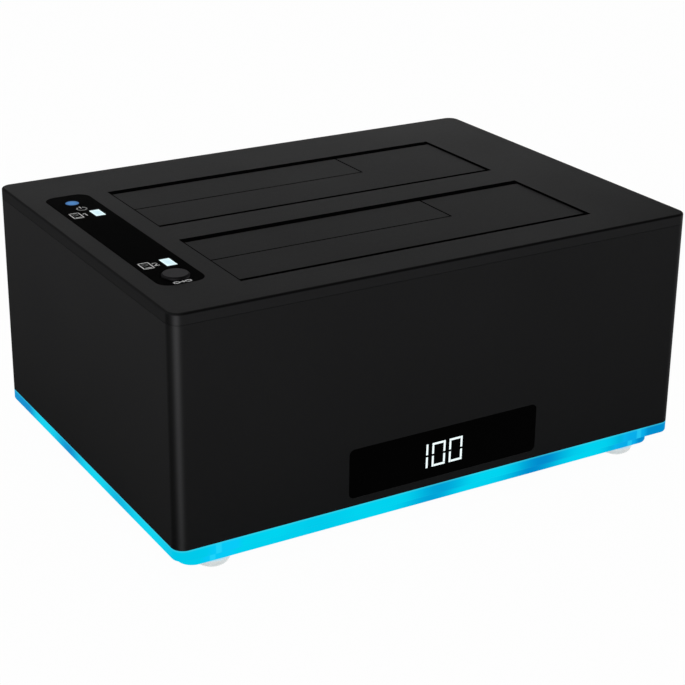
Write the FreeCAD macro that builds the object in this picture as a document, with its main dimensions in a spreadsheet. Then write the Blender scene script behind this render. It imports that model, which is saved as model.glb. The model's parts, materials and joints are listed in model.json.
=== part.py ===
# Drive duplicator: a desktop dock that holds two bare drives upright and copies one to the other.
# Millimetres. +X runs to the right along the front, +Y to the back, +Z up. The origin is the
# middle of the outline, at the level of the surface that the rubber feet stand on.

import FreeCAD, Part
import math
import operator
import os
import Sketcher
from FreeCAD import Placement, Rotation, Vector

doc = FreeCAD.newDocument("DriveDuplicator")

# ---------------------------------------------------------------- driving dimensions

DIMENSIONS = {
    # case
    "case_width": 151.3, "case_depth": 111.3, "corner_radius": 3.2, "housing_height": 60.6,
    "cover_edge": 3.0, "cover_plate": 1.8, "top_edge_radius": 0.6, "parting_chamfer": 0.1,
    "wall": 2.2, "fit_gap": 0.15, "skirt_height": 2.5, "skirt_wall": 1.2, "weld": 0.2,
    # light base and feet
    "foot_height": 2.6, "foot_radius": 4.7, "foot_from_side": 12.8, "foot_from_front": 7.7,
    "plinth_height": 3.8, "plinth_inset": 3.8, "plinth_radius": 1.2, "rim_height": 3.1,
    "base_wall": 2.5, "base_floor": 2.0, "base_column_radius": 3.8,
    "lamp_strip_from_wall": 1.1, "lamp_strip_width": 5.0, "lamp_strip_board": 0.8,
    "lamp_strip_long": 112.0, "lamp_strip_short": 82.0, "lamp_pitch": 34.0, "lamp_length": 2.8,
    "lamp_width": 1.4, "lamp_height": 1.6, "lamp_from_edge": 0.3, "long_lamp_shift": -2.4,
    "short_lamp_shift": -5.3, "lead_side": 1.2, "lead_gap": 0.3, "lead_from_left": 46.3,
    "lead_pitch": 3.0, "lead_from_board_edge": 0.8,
    # drive bays
    "bay_width": 104.0, "bay_depth": 33.87, "bay_from_left": 24.01, "front_bay_from_front": 11.98,
    "rear_bay_from_front": 57.22, "small_bay_width": 71.19, "small_bay_depth": 16.82,
    # flaps
    "flap_recess": 0.3, "flap_thickness": 1.2, "flap_side_gap": 0.5, "flap_hinge_gap": 1.8,
    "flap_seam": 0.5, "flap_rim": 1.4, "flap_rim_wall": 0.9, "rim_from_edge": 3.2,
    "rod_radius": 0.6, "rod_gap": 0.05, "rod_seat_gap": 0.01, "knuckle_radius": 1.25,
    "rod_from_edge": 0.4, "rod_depth": 3.25, "knuckle_width": 2.0, "knuckle_foot": 3.6,
    "knuckle_from_end": 3.0, "stop_reach": 0.7, "stop_width": 2.4, "stop_gap": 0.1, "spring_wire": 0.5,
    "spring_length": 6.0, "spring_leg": 6.5, "leg_side": 0.4, "leg_gap": 0.05, "spring_arm": 8.0,
    "leg_clearance": 0.6,
    # drive wells
    "well_wall": 1.5, "well_overhang": 1.5, "well_height": 49.2, "well_floor": 1.6,
    "guide_gap": 3.6, "guide_rib": 1.4, "rib_spacing": 26.4, "end_rib_inset": 4.0,
    "drive_width": 101.6, "drive_side_gap": 0.5, "fold_clearance": 0.8,
    "bracket_from_seam": 5.0, "bracket_height": 5.0, "ear_depth": 8.0, "ear_thickness": 2.0,
    "ear_reach": 4.7, "ear_margin": 0.3, "post_radius": 2.3, "well_screw_length": 6.0,
    # drive sockets
    "socket_length": 38.6, "socket_depth": 5.6, "socket_height": 10.4, "socket_from_side": 21.9,
    "socket_from_guide": 3.7, "socket_gap": 0.3, "blade_slot": 2.3, "blade_slot_depth": 5.5,
    "blade_inset": 2.6, "signal_slot": 10.2, "slot_divider": 1.8, "key_width": 1.2,
    "key_depth": 1.0,
    # base plate, columns, screws and boards
    "base_plate": 2.0, "column_radius": 3.5, "case_screw_radius": 1.5, "screw_gap": 0.1,
    "screw_head_radius": 2.8, "screw_head": 2.2, "case_screw_length": 30.5,
    "column_joint_height": 26.7, "board_thickness": 1.6, "board_level": 14.7,
    "board_from_side": 17.15, "board_from_front": 11.65, "board_from_back": 3.05,
    "board_hole_from_side": 4.5, "board_hole_from_back": 13.5, "standoff_radius": 2.4,
    "small_screw_radius": 1.1, "small_head_radius": 2.0, "small_head": 1.3,
    "chip_side": 12.0, "chip_height": 1.2, "left_chip_from_bay": 49.6, "right_chip_from_bay": 77.6,
    "left_chip_from_well": 5.8, "right_chip_from_well": 7.8, "parts_row_from_back": 9.0,
    "coil_from_right": 43.65, "coil_radius": 4.0, "coil_height": 5.0,
    "capacitors_from_right": 73.65, "capacitor_pitch": 8.0, "capacitor_radius": 3.1,
    "capacitor_height": 11.0,
    # control strip
    "strip_from_left": 5.87, "strip_width": 12.44, "strip_from_front": 17.2, "strip_length": 76.1,
    "strip_radius": 3.5, "strip_thickness": 1.2, "strip_bed": 3.4, "bed_margin": 1.2,
    "light_from_left": 14.6, "light_width": 2.7, "light_length": 5.0, "source_from_front": 75.9,
    "target_from_front": 32.3, "power_from_left": 11.8, "power_from_front": 86.6,
    "power_radius": 1.8, "guide_above_board": 1.2, "led_side": 1.8, "led_height": 1.0,
    "panel_board_level": 61.1, "panel_board_thickness": 1.2, "panel_board_margin": 0.8,
    "panel_post_side": 3.0, "panel_peg_side": 1.6, "panel_peg": 2.0, "panel_post_from_side": 7.3,
    "front_panel_post": 25.5, "rear_panel_post": 46.0,
    "button_from_left": 12.2, "button_from_front": 23.1, "button_radius": 3.5,
    "button_gap": 0.2, "button_rise": 0.6, "button_chamfer": 0.4, "button_flange": 1.0,
    "button_flange_reach": 1.0, "button_stop_gap": 0.1, "button_travel": 0.6,
    "switch_side": 6.0, "plunger_side": 3.2, "plunger_gap": 0.1, "plunger_guide": 1.5,
    "plunger_seat": 0.6, "over_travel": 0.3,
    "ribbon_width": 9.0, "ribbon_thickness": 0.4, "ribbon_bend": 6.0, "ribbon_from_strip": 4.0,
    "plug_height": 2.2, "plug_width": 2.8, "plug_overlap": 0.9,
    # display
    "display_from_left": 47.38, "display_width": 56.92, "display_below_top": 45.03,
    "display_height": 13.4, "display_radius": 1.5, "display_lip": 1.4, "window_flange": 1.0,
    "module_gap": 0.1, "module_width": 22.5, "module_height": 10.0, "module_depth": 3.0,
    "digits_from_left": 73.8, "display_board": 1.2, "display_board_reach": 8.2,
    "display_board_drop": 0.6, "window_recess": 0.1, "clip_wall": 1.2, "clip_height": 6.0,
    "clip_hook": 0.8, "clip_grip": 1.0, "clip_gap": 0.1,
    "header_width": 16.0, "header_height": 2.4, "header_reach": 4.0,
    # rear
    "inlet_from_right": 30.3, "inlet_radius": 3.9, "inlet_bore": 2.95, "inlet_pin": 1.0,
    "inlet_body": 9.0, "inlet_body_depth": 10.5, "inlet_bore_depth": 7.0, "inlet_pin_set_back": 1.0,
    "port_from_right": 55.3, "port_width": 9.0, "port_height": 3.3, "port_depth": 8.2,
    "port_shell": 0.4, "port_cavity": 6.0, "tongue_width": 6.0, "tongue_height": 0.7,
    "tongue_set_back": 1.0, "port_foot_inset": 1.0,
    "switch_from_right": 118.3, "rear_level": 21.7,
    "switch_width": 13.0, "switch_height": 9.0, "switch_depth": 11.2, "switch_wall": 1.0,
    "switch_cavity": 6.5, "pivot_depth": 3.2, "pivot_radius": 0.8, "pivot_gap": 0.05,
    "pivot_blind": 0.7, "rocker_gap": 0.25, "rocker_tip_gap": 0.9, "rocker_rise": 3.0,
    "rocker_wing": 2.4, "rocker_dish": 0.55, "rocker_belly": 2.4, "rocker_keel": 1.4,
    "rocker_tilt": 8.0,
}


class Size:
    """A length together with the spreadsheet formula that gives it."""

    def __init__(self, value, text=None):
        self.value = float(value)
        self.text = text or "(%.6f)" % self.value

    def _join(self, sign, work, other, swapped=False):
        pair = (as_size(other), self) if swapped else (self, as_size(other))
        value = work(pair[0].value, pair[1].value)
        return Size(value, "(%s %s %s)" % (pair[0].text, sign, pair[1].text))

    def __add__(self, other):
        return self._join("+", operator.add, other)

    def __radd__(self, other):
        return self._join("+", operator.add, other, True)

    def __sub__(self, other):
        return self._join("-", operator.sub, other)

    def __rsub__(self, other):
        return self._join("-", operator.sub, other, True)

    def __mul__(self, other):
        return self._join("*", operator.mul, other)

    def __rmul__(self, other):
        return self._join("*", operator.mul, other, True)

    def __truediv__(self, other):
        return self._join("/", operator.truediv, other)

    def __neg__(self):
        return 0 - self


def as_size(number):
    """Plain numbers take part in formulas too."""
    return number if isinstance(number, Size) else Size(number)


def make_sheet():
    """Write the driving dimensions to a spreadsheet and give each cell its alias."""
    page = doc.addObject("Spreadsheet::Sheet", "Sizes")
    for row, (name, number) in enumerate(DIMENSIONS.items(), start=1):
        page.set("A%d" % row, name)
        page.set("B%d" % row, str(number))
        page.setAlias("B%d" % row, name)
    doc.recompute()
    return page


sheet = make_sheet()


class Named:
    """Gives each driving dimension as an attribute, read from the sheet."""

    def __getattr__(self, name):
        return Size(sheet.get(name), "Sizes." + name)


s = Named()


def bind(thing, field, size):
    """Set a property from a formula, so that it follows the sheet."""
    thing.setExpression(field, as_size(size).text)


# ---------------------------------------------------------------- outlines and bodies

class Outline:
    """Closed loops drawn in a sketch, with every point bound to the sheet."""

    def __init__(self):
        self.loops = []

    def box(self, x0, x1, y0, y1):
        return self.polygon((x0, y0), (x1, y0), (x1, y1), (x0, y1))

    def polygon(self, *points):
        self.loops.append(("polygon", points))
        return self

    def circle(self, x, y, radius):
        self.loops.append(("circle", (x, y, radius)))
        return self

    def ngon(self, sides, x, y, radius):
        """A regular polygon whose corners lie on a circle."""
        angles = [2 * math.pi * i / sides for i in range(sides)]
        return self.polygon(*[(x + radius * math.cos(angle), y + radius * math.sin(angle))
                              for angle in angles])

    def square(self, x, y, side):
        return self.box(x - side / 2, x + side / 2, y - side / 2, y + side / 2)

    def rounded(self, x0, x1, y0, y1, radius):
        self.loops.append(("rounded", (x0, x1, y0, y1, radius)))
        return self


def draw_polygon(sketch, points):
    first = sketch.GeometryCount
    corners = [Vector(as_size(x).value, as_size(y).value, 0) for x, y in points]
    count = len(corners)
    for i in range(count):
        sketch.addGeometry(Part.LineSegment(corners[i], corners[(i + 1) % count]), False)
    for i in range(count):
        following = first + (i + 1) % count
        sketch.addConstraint(Sketcher.Constraint("Coincident", first + i, 2, following, 1))
    for i, (x, y) in enumerate(points):
        place_point(sketch, first + i, 1, x, y)


def place_point(sketch, curve, point, x, y):
    """Hold a point of a curve at (x, y), both as formulas."""
    for kind, length in (("DistanceX", as_size(x)), ("DistanceY", as_size(y))):
        rule = sketch.addConstraint(Sketcher.Constraint(kind, -1, 1, curve, point, length.value))
        bind(sketch, "Constraints[%d]" % rule, length)


def draw_circle(sketch, x, y, radius):
    centre = Vector(as_size(x).value, as_size(y).value, 0)
    ring = sketch.addGeometry(Part.Circle(centre, Vector(0, 0, 1), as_size(radius).value), False)
    place_point(sketch, ring, 3, x, y)
    rule = sketch.addConstraint(Sketcher.Constraint("Radius", ring, as_size(radius).value))
    bind(sketch, "Constraints[%d]" % rule, radius)


def draw_rounded(sketch, x0, x1, y0, y1, radius):
    """A rectangle whose corners are tangent arcs of one radius."""
    x0, x1, y0, y1, radius = (as_size(length) for length in (x0, x1, y0, y1, radius))
    r = radius.value
    first = sketch.GeometryCount
    left, right, low, high = x0.value, x1.value, y0.value, y1.value
    sides = [((left + r, low), (right - r, low)), ((right, low + r), (right, high - r)),
             ((right - r, high), (left + r, high)), ((left, high - r), (left, low + r))]
    centres = [(right - r, low + r), (right - r, high - r), (left + r, high - r), (left + r, low + r)]
    for i in range(4):
        start, end = (Vector(x, y, 0) for x, y in sides[i])
        sketch.addGeometry(Part.LineSegment(start, end), False)
        ring = Part.Circle(Vector(centres[i][0], centres[i][1], 0), Vector(0, 0, 1), r)
        quarter = math.pi / 2
        sketch.addGeometry(Part.ArcOfCircle(ring, (i - 1) * quarter, i * quarter), False)
    for i in range(8):
        sketch.addConstraint(Sketcher.Constraint("Tangent", first + i, 2, first + (i + 1) % 8, 1))
    for line, rule in ((0, "Horizontal"), (2, "Vertical"), (4, "Horizontal"), (6, "Vertical")):
        sketch.addConstraint(Sketcher.Constraint(rule, first + line))
    for arc in (3, 5, 7):
        sketch.addConstraint(Sketcher.Constraint("Equal", first + 1, first + arc))
    rule = sketch.addConstraint(Sketcher.Constraint("Radius", first + 1, r))
    bind(sketch, "Constraints[%d]" % rule, radius)
    place_point(sketch, first + 3, 3, x1 - radius, y1 - radius)
    place_point(sketch, first + 7, 3, x0 + radius, y0 + radius)


DRAW = {"polygon": lambda sketch, loop: draw_polygon(sketch, loop),
        "circle": lambda sketch, loop: draw_circle(sketch, *loop),
        "rounded": lambda sketch, loop: draw_rounded(sketch, *loop)}

# Each plane's name, and whether its normal points along the rising coordinate.
PLANES = {"Z": ("XY_Plane", True), "Y": ("XZ_Plane", False), "X": ("YZ_Plane", True)}


class Body:
    """A PartDesign body that grows by pads and pockets between two levels along an axis."""

    def __init__(self, label, x=0, y=0, z=0):
        self.body = doc.addObject("PartDesign::Body", label)
        self.body.Label = label
        for field, length in (("x", x), ("y", y), ("z", z)):
            bind(self.body, "Placement.Base." + field, length)

    def sketch(self, axis, level, outline):
        role, rising = PLANES[axis]
        sketch = self.body.newObject("Sketcher::SketchObject", "Sketch")
        plane = [f for f in self.body.Origin.OriginFeatures if f.Role == role][0]
        sketch.AttachmentSupport = [(plane, "")]
        sketch.MapMode = "FlatFace"
        bind(sketch, "AttachmentOffset.Base.z", level if rising else -as_size(level))
        for kind, loop in outline.loops:
            DRAW[kind](sketch, loop)
        return sketch

    def add(self, axis, low, high, outline):
        """Pad an outline from the low to the high level along the axis."""
        rising = PLANES[axis][1]
        pad = self.body.newObject("PartDesign::Pad", "Pad")
        pad.Profile = self.sketch(axis, low if rising else high, outline)
        bind(pad, "Length", as_size(high) - low)
        return pad

    def cut(self, axis, low, high, outline):
        """Remove an outline from the low to the high level along the axis."""
        rising = PLANES[axis][1]
        before = self.volume()
        pocket = self.body.newObject("PartDesign::Pocket", "Pocket")
        pocket.Profile = self.sketch(axis, high if rising else low, outline)
        bind(pocket, "Length", as_size(high) - low)
        if not self.volume() < before:
            raise ValueError("a pocket in %s removes nothing" % self.body.Label)
        return pocket

    def volume(self):
        doc.recompute()
        return self.body.Shape.Volume

    def dress(self, kind, field, size, chosen):
        """Fillet or chamfer the edges of the tip that the test function picks."""
        doc.recompute()
        tip = self.body.Tip
        box = tip.Shape.BoundBox
        names = ["Edge%d" % i for i, edge in enumerate(tip.Shape.Edges, start=1) if chosen(edge, box)]
        dressed = self.body.newObject("PartDesign::" + kind, kind)
        dressed.Base = (tip, names)
        bind(dressed, field, size)
        return dressed

    def fillet(self, size, chosen):
        return self.dress("Fillet", "Radius", size, chosen)

    def chamfer(self, size, chosen):
        return self.dress("Chamfer", "Size", size, chosen)


def near(a, b):
    return abs(a - b) < 1e-4


def on_top_rim(edge, box):
    """True for an edge that lies in the highest plane and on the outermost sides."""
    reach = edge.BoundBox
    sides = (near(reach.XMin, box.XMin) or near(reach.XMax, box.XMax)
             or near(reach.YMin, box.YMin) or near(reach.YMax, box.YMax))
    return near(reach.ZMin, box.ZMax) and near(reach.ZMax, box.ZMax) and sides


def on_parting_line(edge, box):
    """True for an edge of the outermost sides at the level where cover and housing meet."""
    reach = edge.BoundBox
    sides = (near(reach.XMin, box.XMin) or near(reach.XMax, box.XMax)
             or near(reach.YMin, box.YMin) or near(reach.YMax, box.YMax))
    level = box.ZMax - s.cover_edge.value
    return near(reach.ZMin, level) and near(reach.ZMax, level) and sides


# ---------------------------------------------------------------- primitives

def block(x0, x1, y0, y1, z0, z1):
    """A Part::Box between two corners."""
    solid = doc.addObject("Part::Box", "Block")
    lows = [as_size(length) for length in (x0, y0, z0)]
    highs = [as_size(length) for length in (x1, y1, z1)]
    for field, low, high in zip(("Length", "Width", "Height"), lows, highs):
        bind(solid, field, high - low)
    for field, low in zip("xyz", lows):
        bind(solid, "Placement.Base." + field, low)
    return solid


def rod(radius, x, y, z, length, axis="Z"):
    """A Part::Cylinder that starts at a point and runs along +X, +Y or +Z."""
    solid = doc.addObject("Part::Cylinder", "Rod")
    bind(solid, "Radius", radius)
    bind(solid, "Height", length)
    turns = {"Z": Rotation(), "X": Rotation(Vector(0, 1, 0), 90), "Y": Rotation(Vector(1, 0, 0), -90)}
    solid.Placement = Placement(Vector(), turns[axis])
    for field, low in zip("xyz", (x, y, z)):
        bind(solid, "Placement.Base." + field, low)
    return solid


def prism(sides, radius, x, y, z, height):
    """A Part::Prism that stands on a point."""
    solid = doc.addObject("Part::Prism", "Prism")
    solid.Polygon = sides
    bind(solid, "Circumradius", radius)
    bind(solid, "Height", height)
    for field, low in zip("xyz", (x, y, z)):
        bind(solid, "Placement.Base." + field, low)
    return solid


def fused(*parts):
    solid = doc.addObject("Part::MultiFuse", "Fused")
    solid.Shapes = list(parts)
    return solid


def less(base, *tools):
    solid = doc.addObject("Part::Cut", "Less")
    solid.Base = base
    solid.Tool = tools[0] if len(tools) == 1 else fused(*tools)
    return solid


def group(*parts):
    """Separate solids kept as one node."""
    solid = doc.addObject("Part::Compound", "Group")
    solid.Links = list(parts)
    return solid


nodes = {}


def keep(label, thing):
    """Name a finished piece as a node of the assembly."""
    solid = thing.body if isinstance(thing, Body) else thing
    solid.Label = label
    nodes[label] = solid


# ---------------------------------------------------------------- shared levels and places

LEFT, RIGHT = -s.case_width / 2, s.case_width / 2
FRONT, BACK = -s.case_depth / 2, s.case_depth / 2
RIM_BOTTOM = s.foot_height + s.plinth_height
CASE_BOTTOM = RIM_BOTTOM + s.rim_height
TOP = CASE_BOTTOM + s.housing_height
PARTING = TOP - s.cover_edge
PLATE_UNDER = TOP - s.cover_plate
BASE_TOP = CASE_BOTTOM + s.base_plate
BED_UNDER = TOP - s.strip_bed
BAY_LEFT = LEFT + s.bay_from_left
BAYS = {"front": FRONT + s.front_bay_from_front, "rear": FRONT + s.rear_bay_from_front}
INNER_LEFT, INNER_RIGHT = LEFT + s.wall, RIGHT - s.wall
INNER_FRONT, INNER_BACK = FRONT + s.wall, BACK - s.wall
INNER_RADIUS = s.corner_radius - s.wall
WELL_FLOOR = -s.cover_plate - s.well_height + s.well_floor
GUIDE_BACK = s.bay_depth - s.guide_gap
FOLDED_FLAP_END = -s.rod_depth - s.bay_depth + s.flap_hinge_gap
SCREW_SIDES, HEAD_SIDES = 8, 6
WELL_REACH = s.well_overhang + s.well_wall
EAR_HOLE = WELL_REACH + s.ear_reach / 2
EARS_X = (-EAR_HOLE, s.bay_width + EAR_HOLE)
BAY_MIDDLE = s.bay_depth / 2
CORNERS = [(x, y) for x in (LEFT + s.foot_from_side, RIGHT - s.foot_from_side)
           for y in (FRONT + s.foot_from_front, BACK - s.foot_from_front)]
BOARD_LEFT, BOARD_RIGHT = LEFT + s.board_from_side, RIGHT - s.board_from_side
BOARD_FRONT, BOARD_BACK = FRONT + s.board_from_front, BACK - s.board_from_back
BOARD_HOLES = [(BOARD_LEFT + s.board_hole_from_side, BOARD_FRONT + s.board_hole_from_side),
               (BOARD_RIGHT - s.board_hole_from_side, BOARD_BACK - s.board_hole_from_back)]
BOARD_RESTS = [(BOARD_RIGHT - s.board_hole_from_side, BOARD_FRONT + s.board_hole_from_side),
               (BOARD_LEFT + s.board_hole_from_side, BOARD_BACK - s.board_hole_from_back)]
BOARD_TOP = s.board_level + s.board_thickness
STRIP_LEFT = LEFT + s.strip_from_left
STRIP_FRONT = FRONT + s.strip_from_front
LIGHT_LEFT = LEFT + s.light_from_left - s.light_width / 2
LIGHTS = {"source": FRONT + s.source_from_front, "target": FRONT + s.target_from_front}
POWER_SPOT = (LEFT + s.power_from_left, FRONT + s.power_from_front)
BUTTON_SPOT = (LEFT + s.button_from_left, FRONT + s.button_from_front)
DISPLAY_LEFT = LEFT + s.display_from_left
DISPLAY_TOP = TOP - s.display_below_top
DISPLAY_BOTTOM = DISPLAY_TOP - s.display_height
DISPLAY_BOARD_FACE = INNER_FRONT + s.display_lip + s.module_depth
DISPLAY_BACK = DISPLAY_BOARD_FACE + s.display_board
INLET_X = RIGHT - s.inlet_from_right
PORT_X = RIGHT - s.port_from_right
SWITCH_X = RIGHT - s.switch_from_right
LEADS_X = (LEFT + s.lead_from_left, LEFT + s.lead_from_left + s.lead_pitch)
LEAD_Y = BOARD_FRONT + s.lead_from_board_edge
PANEL_POSTS = [(STRIP_LEFT + s.panel_post_from_side, STRIP_FRONT + along)
               for along in (s.front_panel_post, s.rear_panel_post)]
BRACKET_X = s.small_bay_width - s.bracket_from_seam


def case_outline(inset=0, radius=s.corner_radius):
    """The case's plan, drawn in from the outside by an inset."""
    return Outline().rounded(LEFT + inset, RIGHT - inset, FRONT + inset, BACK - inset, radius)


# ---------------------------------------------------------------- case

def make_main_housing():
    """The four-walled sleeve, open above and below, with its window and rear ports."""
    housing = Body("main_housing")
    housing.add("Z", CASE_BOTTOM, PARTING, case_outline())
    housing.cut("Z", CASE_BOTTOM, PARTING, case_outline(s.wall, INNER_RADIUS))
    add_display_clips(housing)
    gap = s.fit_gap / 2
    housing.cut("Y", FRONT, INNER_FRONT, Outline().rounded(
        DISPLAY_LEFT - gap, DISPLAY_LEFT + s.display_width + gap, DISPLAY_BOTTOM - gap,
        DISPLAY_TOP + gap, s.display_radius + gap))
    rear = Outline().circle(INLET_X, s.rear_level, s.inlet_radius + s.fit_gap)
    rear.rounded(PORT_X - s.port_width / 2 - s.fit_gap, PORT_X + s.port_width / 2 + s.fit_gap,
                 s.rear_level - s.port_height / 2 - s.fit_gap,
                 s.rear_level + s.port_height / 2 + s.fit_gap, s.port_height / 2)
    rear.box(SWITCH_X - s.switch_width / 2 - s.fit_gap, SWITCH_X + s.switch_width / 2 + s.fit_gap,
             s.rear_level - s.switch_height / 2 - s.fit_gap,
             s.rear_level + s.switch_height / 2 + s.fit_gap)
    housing.cut("Y", INNER_BACK, BACK, rear)
    keep("main_housing", housing)


def add_display_clips(housing):
    """Two hooked arms inside the front wall that hold the display's board by its ends."""
    level = (DISPLAY_TOP + DISPLAY_BOTTOM) / 2
    low, high = level - s.clip_height / 2, level + s.clip_height / 2
    reach = s.display_board_reach + s.clip_gap
    hook = DISPLAY_BACK + s.clip_gap
    for edge, away in ((DISPLAY_LEFT - reach, -1), (DISPLAY_LEFT + s.display_width + reach, 1)):
        outer = edge + away * s.clip_wall
        inner = edge - away * s.clip_grip
        arm = sorted((edge, outer), key=lambda size: size.value)
        grip = sorted((inner, outer), key=lambda size: size.value)
        housing.add("Y", INNER_FRONT - s.weld, hook, Outline().box(*arm, low, high))
        housing.add("Y", hook, hook + s.clip_hook, Outline().box(*grip, low, high))


def make_top_cover():
    """The lid: bay openings, strip recess, locating skirt, screw columns and posts."""
    cover = Body("top_cover")
    cover.add("Z", PLATE_UNDER, TOP, case_outline())
    edge = case_outline()
    edge.loops += case_outline(s.wall + s.fit_gap, INNER_RADIUS).loops
    cover.add("Z", PARTING, PLATE_UNDER, edge)
    skirt_in = s.wall + s.fit_gap + s.skirt_wall
    skirt = case_outline(s.wall + s.fit_gap, INNER_RADIUS)
    skirt.loops += case_outline(skirt_in, INNER_RADIUS - s.skirt_wall / 2).loops
    cover.add("Z", PARTING - s.skirt_height, PLATE_UNDER, skirt)
    cover.chamfer(s.parting_chamfer, on_parting_line)
    cover.fillet(s.top_edge_radius, on_top_rim)
    for front in BAYS.values():
        opening = Outline().box(BAY_LEFT, BAY_LEFT + s.bay_width, front, front + s.bay_depth)
        cover.cut("Z", PLATE_UNDER, TOP, opening)
    margin = s.bed_margin
    bed = Outline().box(INNER_LEFT + s.fit_gap + s.skirt_wall, STRIP_LEFT + s.strip_width + margin,
                        STRIP_FRONT - margin, STRIP_FRONT + s.strip_length + margin)
    cover.add("Z", BED_UNDER, PLATE_UNDER, bed)
    gap = s.fit_gap / 2
    cover.cut("Z", TOP - s.strip_thickness, TOP, Outline().rounded(
        STRIP_LEFT - gap, STRIP_LEFT + s.strip_width + gap, STRIP_FRONT - gap,
        STRIP_FRONT + s.strip_length + gap, s.strip_radius + gap))
    cover.cut("Z", BED_UNDER, TOP - s.strip_thickness, strip_holes())
    posts = Outline()
    for front in BAYS.values():
        for x in EARS_X:
            posts.ngon(6, BAY_LEFT + x, front + BAY_MIDDLE, s.post_radius)
            posts.ngon(SCREW_SIDES, BAY_LEFT + x, front + BAY_MIDDLE, s.small_screw_radius)
    cover.add("Z", TOP - s.ear_depth, PLATE_UNDER, posts)
    columns = Outline()
    for x, y in CORNERS:
        columns.ngon(8, x, y, s.column_radius).ngon(SCREW_SIDES, x, y, s.case_screw_radius)
    cover.add("Z", s.column_joint_height, PLATE_UNDER, columns)
    rests, pegs = Outline(), Outline()
    for x, y in PANEL_POSTS:
        rests.square(x, y, s.panel_post_side)
        pegs.square(x, y, s.panel_peg_side)
    cover.add("Z", s.panel_board_level, BED_UNDER, rests)
    cover.add("Z", s.panel_board_level - s.panel_peg, s.panel_board_level, pegs)
    keep("top_cover", cover)


def strip_holes():
    """Holes for the button, the power light and the two drive lights."""
    holes = Outline().circle(*BUTTON_SPOT, s.button_radius + s.button_gap)
    holes.circle(*POWER_SPOT, s.power_radius + s.fit_gap / 2)
    gap = s.fit_gap / 2
    for middle in LIGHTS.values():
        holes.box(LIGHT_LEFT - gap, LIGHT_LEFT + s.light_width + gap,
                  middle - s.light_length / 2 - gap, middle + s.light_length / 2 + gap)
    return holes


def make_light_base():
    """The translucent tray: a rim flush with the housing over an inset plinth."""
    tray = Body("light_base")
    tray.add("Z", RIM_BOTTOM, CASE_BOTTOM, case_outline())
    tray.add("Z", s.foot_height, RIM_BOTTOM, case_outline(s.plinth_inset, s.plinth_radius))
    cavity = s.plinth_inset + s.base_wall
    tray.cut("Z", s.foot_height + s.base_floor, CASE_BOTTOM, case_outline(cavity, INNER_RADIUS))
    for x, y in CORNERS:
        tray.add("Z", s.foot_height + s.base_floor - s.weld, CASE_BOTTOM,
                 Outline().ngon(8, x, y, s.base_column_radius))
    for x, y in CORNERS:
        tray.cut("Z", s.foot_height, CASE_BOTTOM,
                 Outline().ngon(SCREW_SIDES, x, y, s.case_screw_radius + s.screw_gap))
        tray.cut("Z", s.foot_height, s.foot_height + s.plinth_height,
                 Outline().ngon(HEAD_SIDES, x, y, s.screw_head_radius + s.screw_gap))
    keep("light_base", tray)


def make_base_plate():
    """The black floor of the case, with screw columns and board standoffs."""
    plate = Body("base_plate")
    plate.add("Z", CASE_BOTTOM, BASE_TOP, case_outline(s.wall + s.fit_gap, INNER_RADIUS))
    columns = Outline()
    for x, y in CORNERS:
        columns.ngon(8, x, y, s.column_radius)
    plate.add("Z", BASE_TOP, s.column_joint_height, columns)
    bores = Outline()
    for x, y in CORNERS:
        bores.ngon(SCREW_SIDES, x, y, s.case_screw_radius + s.screw_gap)
    plate.cut("Z", CASE_BOTTOM, s.column_joint_height, bores)
    passage = Outline()
    for x in LEADS_X:
        passage.square(x, LEAD_Y, s.lead_side + 2 * s.lead_gap)
    plate.cut("Z", CASE_BOTTOM, BASE_TOP, passage)
    standoffs = Outline()
    for x, y in BOARD_HOLES:
        standoffs.ngon(6, x, y, s.standoff_radius)
        standoffs.ngon(SCREW_SIDES, x, y, s.small_screw_radius)
    for x, y in BOARD_RESTS:
        standoffs.ngon(6, x, y, s.standoff_radius)
    plate.add("Z", BASE_TOP, s.board_level, standoffs)
    keep("base_plate", plate)


def make_feet():
    """Four soft round bumpers that hide the case screws."""
    feet = []
    for x, y in CORNERS:
        foot = Body("foot", x, y)
        foot.add("Z", 0, s.foot_height, Outline().circle(0, 0, s.foot_radius))
        feet.append(foot.body)
    keep("rubber_feet", group(*feet))


def make_case_screws():
    """Four long screws, from under the plinth up into the cover's columns."""
    low = RIM_BOTTOM - s.screw_head
    screws = [fused(prism(HEAD_SIDES, s.screw_head_radius, x, y, low, s.screw_head),
                    prism(SCREW_SIDES, s.case_screw_radius, x, y, low, s.case_screw_length))
              for x, y in CORNERS]
    keep("case_screws", group(*screws))


# ---------------------------------------------------------------- drive bays

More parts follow.
